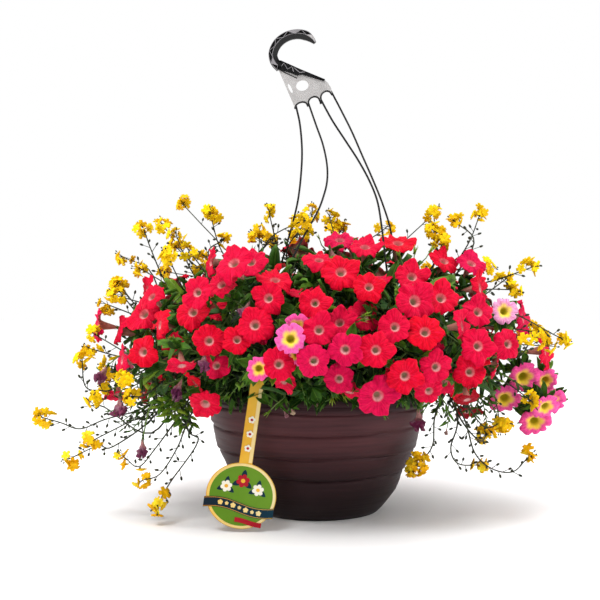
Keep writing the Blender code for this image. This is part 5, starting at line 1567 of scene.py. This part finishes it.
def capsules_along(bunch, kit, path):
    """Seed capsules on thin stalks, set spirally below a head."""
    gone = 0.0
    wanted = CAPSULE_START
    turn = between(0, math.tau)
    for a, b in zip(path, path[1:]):
        gone += (b - a).length
        if gone < wanted:
            continue
        wanted = gone + CAPSULE_GAP * between(0.8, 1.3)
        if mound_reach(b) < 0.75 and b.z > MOUND.z - MOUND_BELOW * 0.6:
            break
        turn += GOLDEN
        run = (a - b).normalized()
        across = run.orthogonal().normalized()
        around = across * math.cos(turn) + run.cross(across) * math.sin(turn)
        way = (run * 0.7 + around).normalized()
        place = b + way * between(*CAPSULE_OUT)
        bunch.put(kit.capsule, seat_along(place, way, 0.0, CAPSULE), 0.1, 2)
        bunch.stem([b, place], *CAPSULE_STALK)


def dress_leaf(bunch, kit, plant, leaf):
    """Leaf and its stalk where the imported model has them."""
    tip, second, line = leaf
    base = line[0] if line else second
    if plant.kind == "calibrachoa":
        tip = tip + BELL_STEM_BACK * 1.6
    way = tip - base
    normal = (UP + outward(base) * 0.5).normalized()
    bunch.put(chance.choice(kit.leaves), leaf_seat(base, way, normal, way.length), between(0.3, 0.8), 1)
    if len(line) > 1:
        bunch.stem(smooth_line(line, 4), *LEAF_STALK)


def dress_plant(kit, plant, finishes):
    """All of one stem as one piece."""
    bunch = Bunch()
    bell = plant.kind == "calibrachoa"
    for bloom in plant.blooms:
        path = dress_bloom(bunch, kit, plant, bloom)
        branch = (BELL_LEAVES_PER_BRANCH, BELL_LEAVES, 2.0) if bell else (LEAVES_PER_BRANCH, BRANCH_LEAVES)
        leaves_along(bunch, kit, list(reversed(path)), *branch)
    for leaf in plant.leaves:
        dress_leaf(bunch, kit, plant, leaf)
    for head in plant.heads:
        dress_head(bunch, kit, head)
    if len(plant.trunk) > 1:
        bunch.stem(smooth_line(plant.trunk, 4), *TRUNK)
        if plant.kind != "nemesia":
            leaves_along(bunch, kit, plant.trunk, LEAVES_PER_BRANCH, TRUNK_LEAVES)
    fit([bunch.piece(plant.name + "_grown", finishes)], plant.name)


def shoot_line(target):
    """Line of a leafy shoot from the soil, over the rim and out to a place in the mound."""
    flat = Vector((target.x, target.y, 0))
    foot = flat.normalized() * min(flat.length * 0.4, 0.09) + UP * SOIL_TOP
    over = foot.lerp(target, 0.55)
    over.z = max(over.z, POT_TOP + 0.028)
    return smooth_line([foot, over, target], 6)


def make_filling(kit, finishes):
    """Leafy shoots that close the mound under the blooms, and leaves over the rim."""
    for part in range(FILLING_PIECES):
        bunch = Bunch()
        for k in range(part, TWIGS, FILLING_PIECES):
            target = spiral_place(k, TWIGS, 2, between(*FILLING_REACH))
            if is_free(target):
                line = shoot_line(target)
                bunch.stem(line, *SHOOT)
                filled(bunch, kit, line)
                sprigs_along(bunch, kit, line)
        over_the_rim(bunch, kit, part)
        extra(bunch, f"filling_{part + 1}", finishes)


def filled(bunch, kit, line):
    """Leaves of one shoot, with painted shade that makes them darker the deeper they lie in the mound, and
    broad near-black ones near its foot as painted shade in the mound's core.
    """
    for _ in range(CORE_LEAVES):
        base = line[chance.randrange(len(line) // 4, len(line) * 3 // 5)]
        way = (UP * 0.4 + any_way()).normalized()
        tip = base + way * between(*CORE_LEAF)
        if is_free(tip, base) and mound_reach(tip) < CORE_INSIDE:
            # near-black core leaves: painted shade deep in the mound
            bunch.put(kit.plain_leaves[0], leaf_seat(base, way, any_way(), (tip - base).length), 0.0, 1)
    for k in range(LEAVES_PER_TWIG):
        base, _ = along(line, (k + between(0.2, 0.8)) / LEAVES_PER_TWIG)
        size = between(*TWIG_LEAF)
        out = outward(base)
        way = (out * 0.5 + any_way()).normalized()
        tip = base + way * size
        reach = mound_reach(tip)
        if is_free(tip, base) and reach < FILLING_INSIDE and kit.shows_clear(tip, base.lerp(tip, 0.5)):
            # darker the deeper inside the mound: painted shade
            tone = clamped(chance.gauss(0.9 * max(0.0, reach - 0.55), 0.12), high=0.9)
            normal = (UP * 0.6 + out * 0.6 + any_way() * 0.5).normalized()
            bunch.put(chance.choice(kit.plain_leaves), leaf_seat(base, way, normal, size), tone, 1)


def make_deep_blooms(kit, taken, finishes):
    """Half-hidden blooms low in the mound, in the gaps between the others."""
    bunch = Bunch()
    for k in range(DEEP_BLOOMS):
        place = spiral_place(k, DEEP_BLOOMS, 1.6, DEEP_REACH)
        if not is_free(place - UP * 0.02) or any((place - other).length < DEEP_APART for other in taken):
            continue
        taken.append(place)
        way = (outward(place) + any_way() * 0.45).normalized()
        size = between(*DEEP_SIZE)
        shape = chance.choice(kit.deep)
        bunch.put(shape, seat_along(place, way, between(-0.5, 0.5), size), between(-0.15, 0.6))
        foot = place - way * size * BLOOM_LENGTH
        put_calyx(bunch, kit, foot, way, DEEP_CALYX)
        bunch.stem(shoot_line(foot), *DEEP_STEM)
    extra(bunch, "deep_blooms", finishes)


def sprigs_along(bunch, kit, line):
    """Short hairy shoots with narrow sepals at their ends, in the outer half of a leafy shoot."""
    for _ in range(SPRIGS_PER_TWIG):
        base = line[chance.randrange(len(line) // 2, len(line))]
        way = (outward(base) + any_way() * 0.7).normalized()
        end = base + way * between(*SPRIG_LENGTH)
        inside = is_free(end, base) and mound_reach(end) < SPRIG_INSIDE
        if inside and kit.shows_clear(end + way * 0.01, end, base):
            bunch.stem([base, base.lerp(end, 0.5) + any_way() * 0.002, end], *SPRIG)
            seat = seat_along(end, way, between(0, 6), between(*SEPALS))
            bunch.put(kit.calyx, seat, between(0.55, 1.0), 1)


def over_the_rim(bunch, kit, part):
    """Leaves that hang over the pot's rim all the way round."""
    for k in range(part, RIM_LEAVES, FILLING_PIECES):
        angle = GOLDEN * k
        out = Vector((math.cos(angle), math.sin(angle), 0))
        base = out * between(*RIM_LEAF_OUT) + UP * between(*RIM_LEAF_HIGH)
        way = (out * 0.45 - UP * between(0.2, 1.0) + out.cross(UP) * between(-0.8, 0.8)).normalized()
        size = between(*RIM_LEAF)
        if is_free(base, base + way * size):
            tone = between(0.05, 0.6)
            seat = leaf_seat(base, way, (out + UP * 0.5).normalized(), size)
            bunch.put(chance.choice(kit.plain_leaves), seat, tone, 1)


def make_overhang(kit, finishes):
    """Rosette of round leaves and thin sprigs that hang over the front of the rim."""
    bunch = Bunch()
    heart = seen_at(*ROSETTE, RIM_FRONT)
    for k, degrees in enumerate(ROSETTE_ANGLES):
        angle = math.radians(degrees)
        way = Vector((math.cos(angle), -0.25, math.sin(angle))).normalized()
        base = heart + Vector((0, -0.002 * (k % 3), 0))
        size = ROSETTE_LENGTH * between(0.85, 1.15)
        bunch.put(kit.round_leaf, leaf_seat(base, way, Vector((0, -1, 0.45)), size), between(0.22, 0.5), 1)
    bunch.stem([heart, heart + Vector((0, 0.020, 0.012))], 0.0012, 0.0016)
    for places in RIM_SPRIGS:
        line = smooth_line([seen_at(u, v, RIM_FRONT - 0.002) for u, v in places], 4)
        bunch.stem(line, *SPRIG)
        run = (line[-1] - line[-2]).normalized()
        bunch.put(kit.wilted[0], seat_along(line[-1], run, between(0, 6), 0.0085), between(0.8, 1.0))
        for point in line[1::3]:
            way = (run + any_way() * 0.8).normalized()
            bunch.put(kit.plain_leaves[1], leaf_seat(point, way, Vector((0, -1, 0.3)), 0.013), 0.6, 1)
    extra(bunch, "rim_sprigs", finishes)


def make_drape(kit, finishes):
    """Leafy twigs that hang below the mound's left and right edges."""
    bunch = Bunch()
    facing = Vector((0, -1, 0.4))
    for foot, ends, depth, size, tones in DRAPES:
        for k, end in enumerate(ends):
            start, tip = seen_at(*foot, depth + 0.02), seen_at(*end, depth - 0.010 * (k % 3))
            line = smooth_line([start, start.lerp(tip, 0.5) + UP * 0.005, tip], 6)
            bunch.stem(line, *TWIG)
            run = (tip - start).normalized()
            for step, point in enumerate(line[3:]):
                turn = run.cross(facing) * (1 if step % 2 else -1) * between(0.4, 1.3)
                way = (run + turn + any_way() * 0.5).normalized()
                leaf = leaf_seat(point, way, facing + any_way() * 0.5, size * between(0.7, 1.2))
                bunch.put(chance.choice(kit.twig_leaves), leaf, between(*tones), 1)
    extra(bunch, "hanging_twigs", finishes)


def on_the_mound(u, v, reach):
    """Point of the mound's front, at a share of its size, that shows at a place in the picture."""
    way = (seen_at(u, v) - EYE).normalized()
    return min((EYE + way * (1.0 + 0.004 * k) for k in range(140)),
               key=lambda p: abs(mound_reach(p) - reach) + 0.2 * max(0.0, p.y))


def make_wilted(kit, finishes):
    """Spent blooms that hang among the fresh ones."""
    bunch = Bunch()
    for u, v in WILTED:
        place = on_the_mound(u, v, WILTED_REACH)
        way = (outward(place) * 0.5 - UP + any_way() * 0.25).normalized()
        size = between(*WILTED_SIZE)
        shape = chance.choice(kit.wilted)
        bunch.put(shape, seat_along(place, way, between(0, math.tau), size), between(0.0, 0.75))
        bunch.put(kit.calyx, seat_along(place - way * 0.003, way, 0.0, 0.010), 0.4, 1)
        inner = place - outward(place) * 0.045
        bunch.stem(smooth_line([place, place.lerp(inner, 0.5) + UP * 0.008, inner], 5), *WILTED_STALK)
    extra(bunch, "wilted_blooms", finishes)


def make_plants():
    """Every stem of the basket, and what fills the mound between them."""
    kit, group, green = Border(), petal_group(), leaf_finish()
    soft, thin = [stem_finish(*stem) for stem in STEMS]
    stems = {"petunia": soft, "calibrachoa": soft, "nemesia": thin}
    finishes = {kind: [petal_finish(kind, group), green, stems[kind]] for kind in PETALS}
    plants = [Plant(name) for name in sorted(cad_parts) if name.split("_")[0] in finishes]
    kit.note_blooms(plants)
    for plant in plants:
        dress_plant(kit, plant, finishes[plant.kind])
    make_deep_blooms(kit, [bloom[0] for plant in plants for bloom in plant.blooms], finishes["petunia"])
    make_filling(kit, finishes["petunia"])
    spent = [wilted_finish(), green, soft]
    make_wilted(kit, spent)
    make_overhang(kit, spent)
    make_drape(kit, spent)


# Studio

def area_light(name, place, target, size, power):
    """Soft square light aimed at a point."""
    data = bpy.data.lights.new(name, "AREA")
    data.energy, data.size = power, size
    aim = (Vector(target) - Vector(place)).to_track_quat("-Z", "Y").to_matrix().to_4x4()
    linked(name, data).matrix_world = Matrix.Translation(place) @ aim


def make_studio():
    """Camera, pale floor and plain soft light."""
    scene = bpy.context.scene
    data = bpy.data.cameras.new("view")
    data.sensor_width, data.lens = FILM, FILM * FOCAL / PICTURE
    scene.camera = linked("view", data)
    scene.camera.matrix_world = Matrix.Translation(EYE) @ Matrix.Rotation(math.pi / 2, 4, "X")
    work = bmesh.new()
    bmesh.ops.create_grid(work, x_segments=1, y_segments=1, size=FLOOR_SIZE)
    white = Finish("floor_white", Roughness=0.6, Specular_IOR_Level=0.1, Base_Color=(0.95, 0.95, 0.95, 1))
    mesh_piece("floor", work, [white.material], smooth=False)
    scene.world = bpy.data.worlds.new("studio")
    scene.world.use_nodes = True
    sky = Nodes(scene.world.node_tree)
    strength = sky.span(sky.node("LightPath").outputs["Is Camera Ray"], 0.0, 1.0, WORLD_LIGHT)
    background = sky.tree.nodes["Background"].inputs
    background["Color"].default_value = (1, 1, 1, 1)
    sky.tree.links.new(strength, background["Strength"])
    for light in LIGHTS:
        area_light(*light)
    data = bpy.data.lights.new("even", "SUN")
    data.energy, data.angle = FLOOR_LIGHT, math.radians(60)
    linked("even", data)
    scene.view_settings.view_transform = "Standard"
    scene.view_settings.look = "None"


make_studio()
fit([make_pot(pot_finish())], "pot")
fit([make_soil(soil_finish())], "soil")
make_hanger(*[plastic_finish(*plastic) for plastic in PLASTICS])
fit([make_tag([card_finish(*ink) for ink in INKS])], "tag")
make_plants()
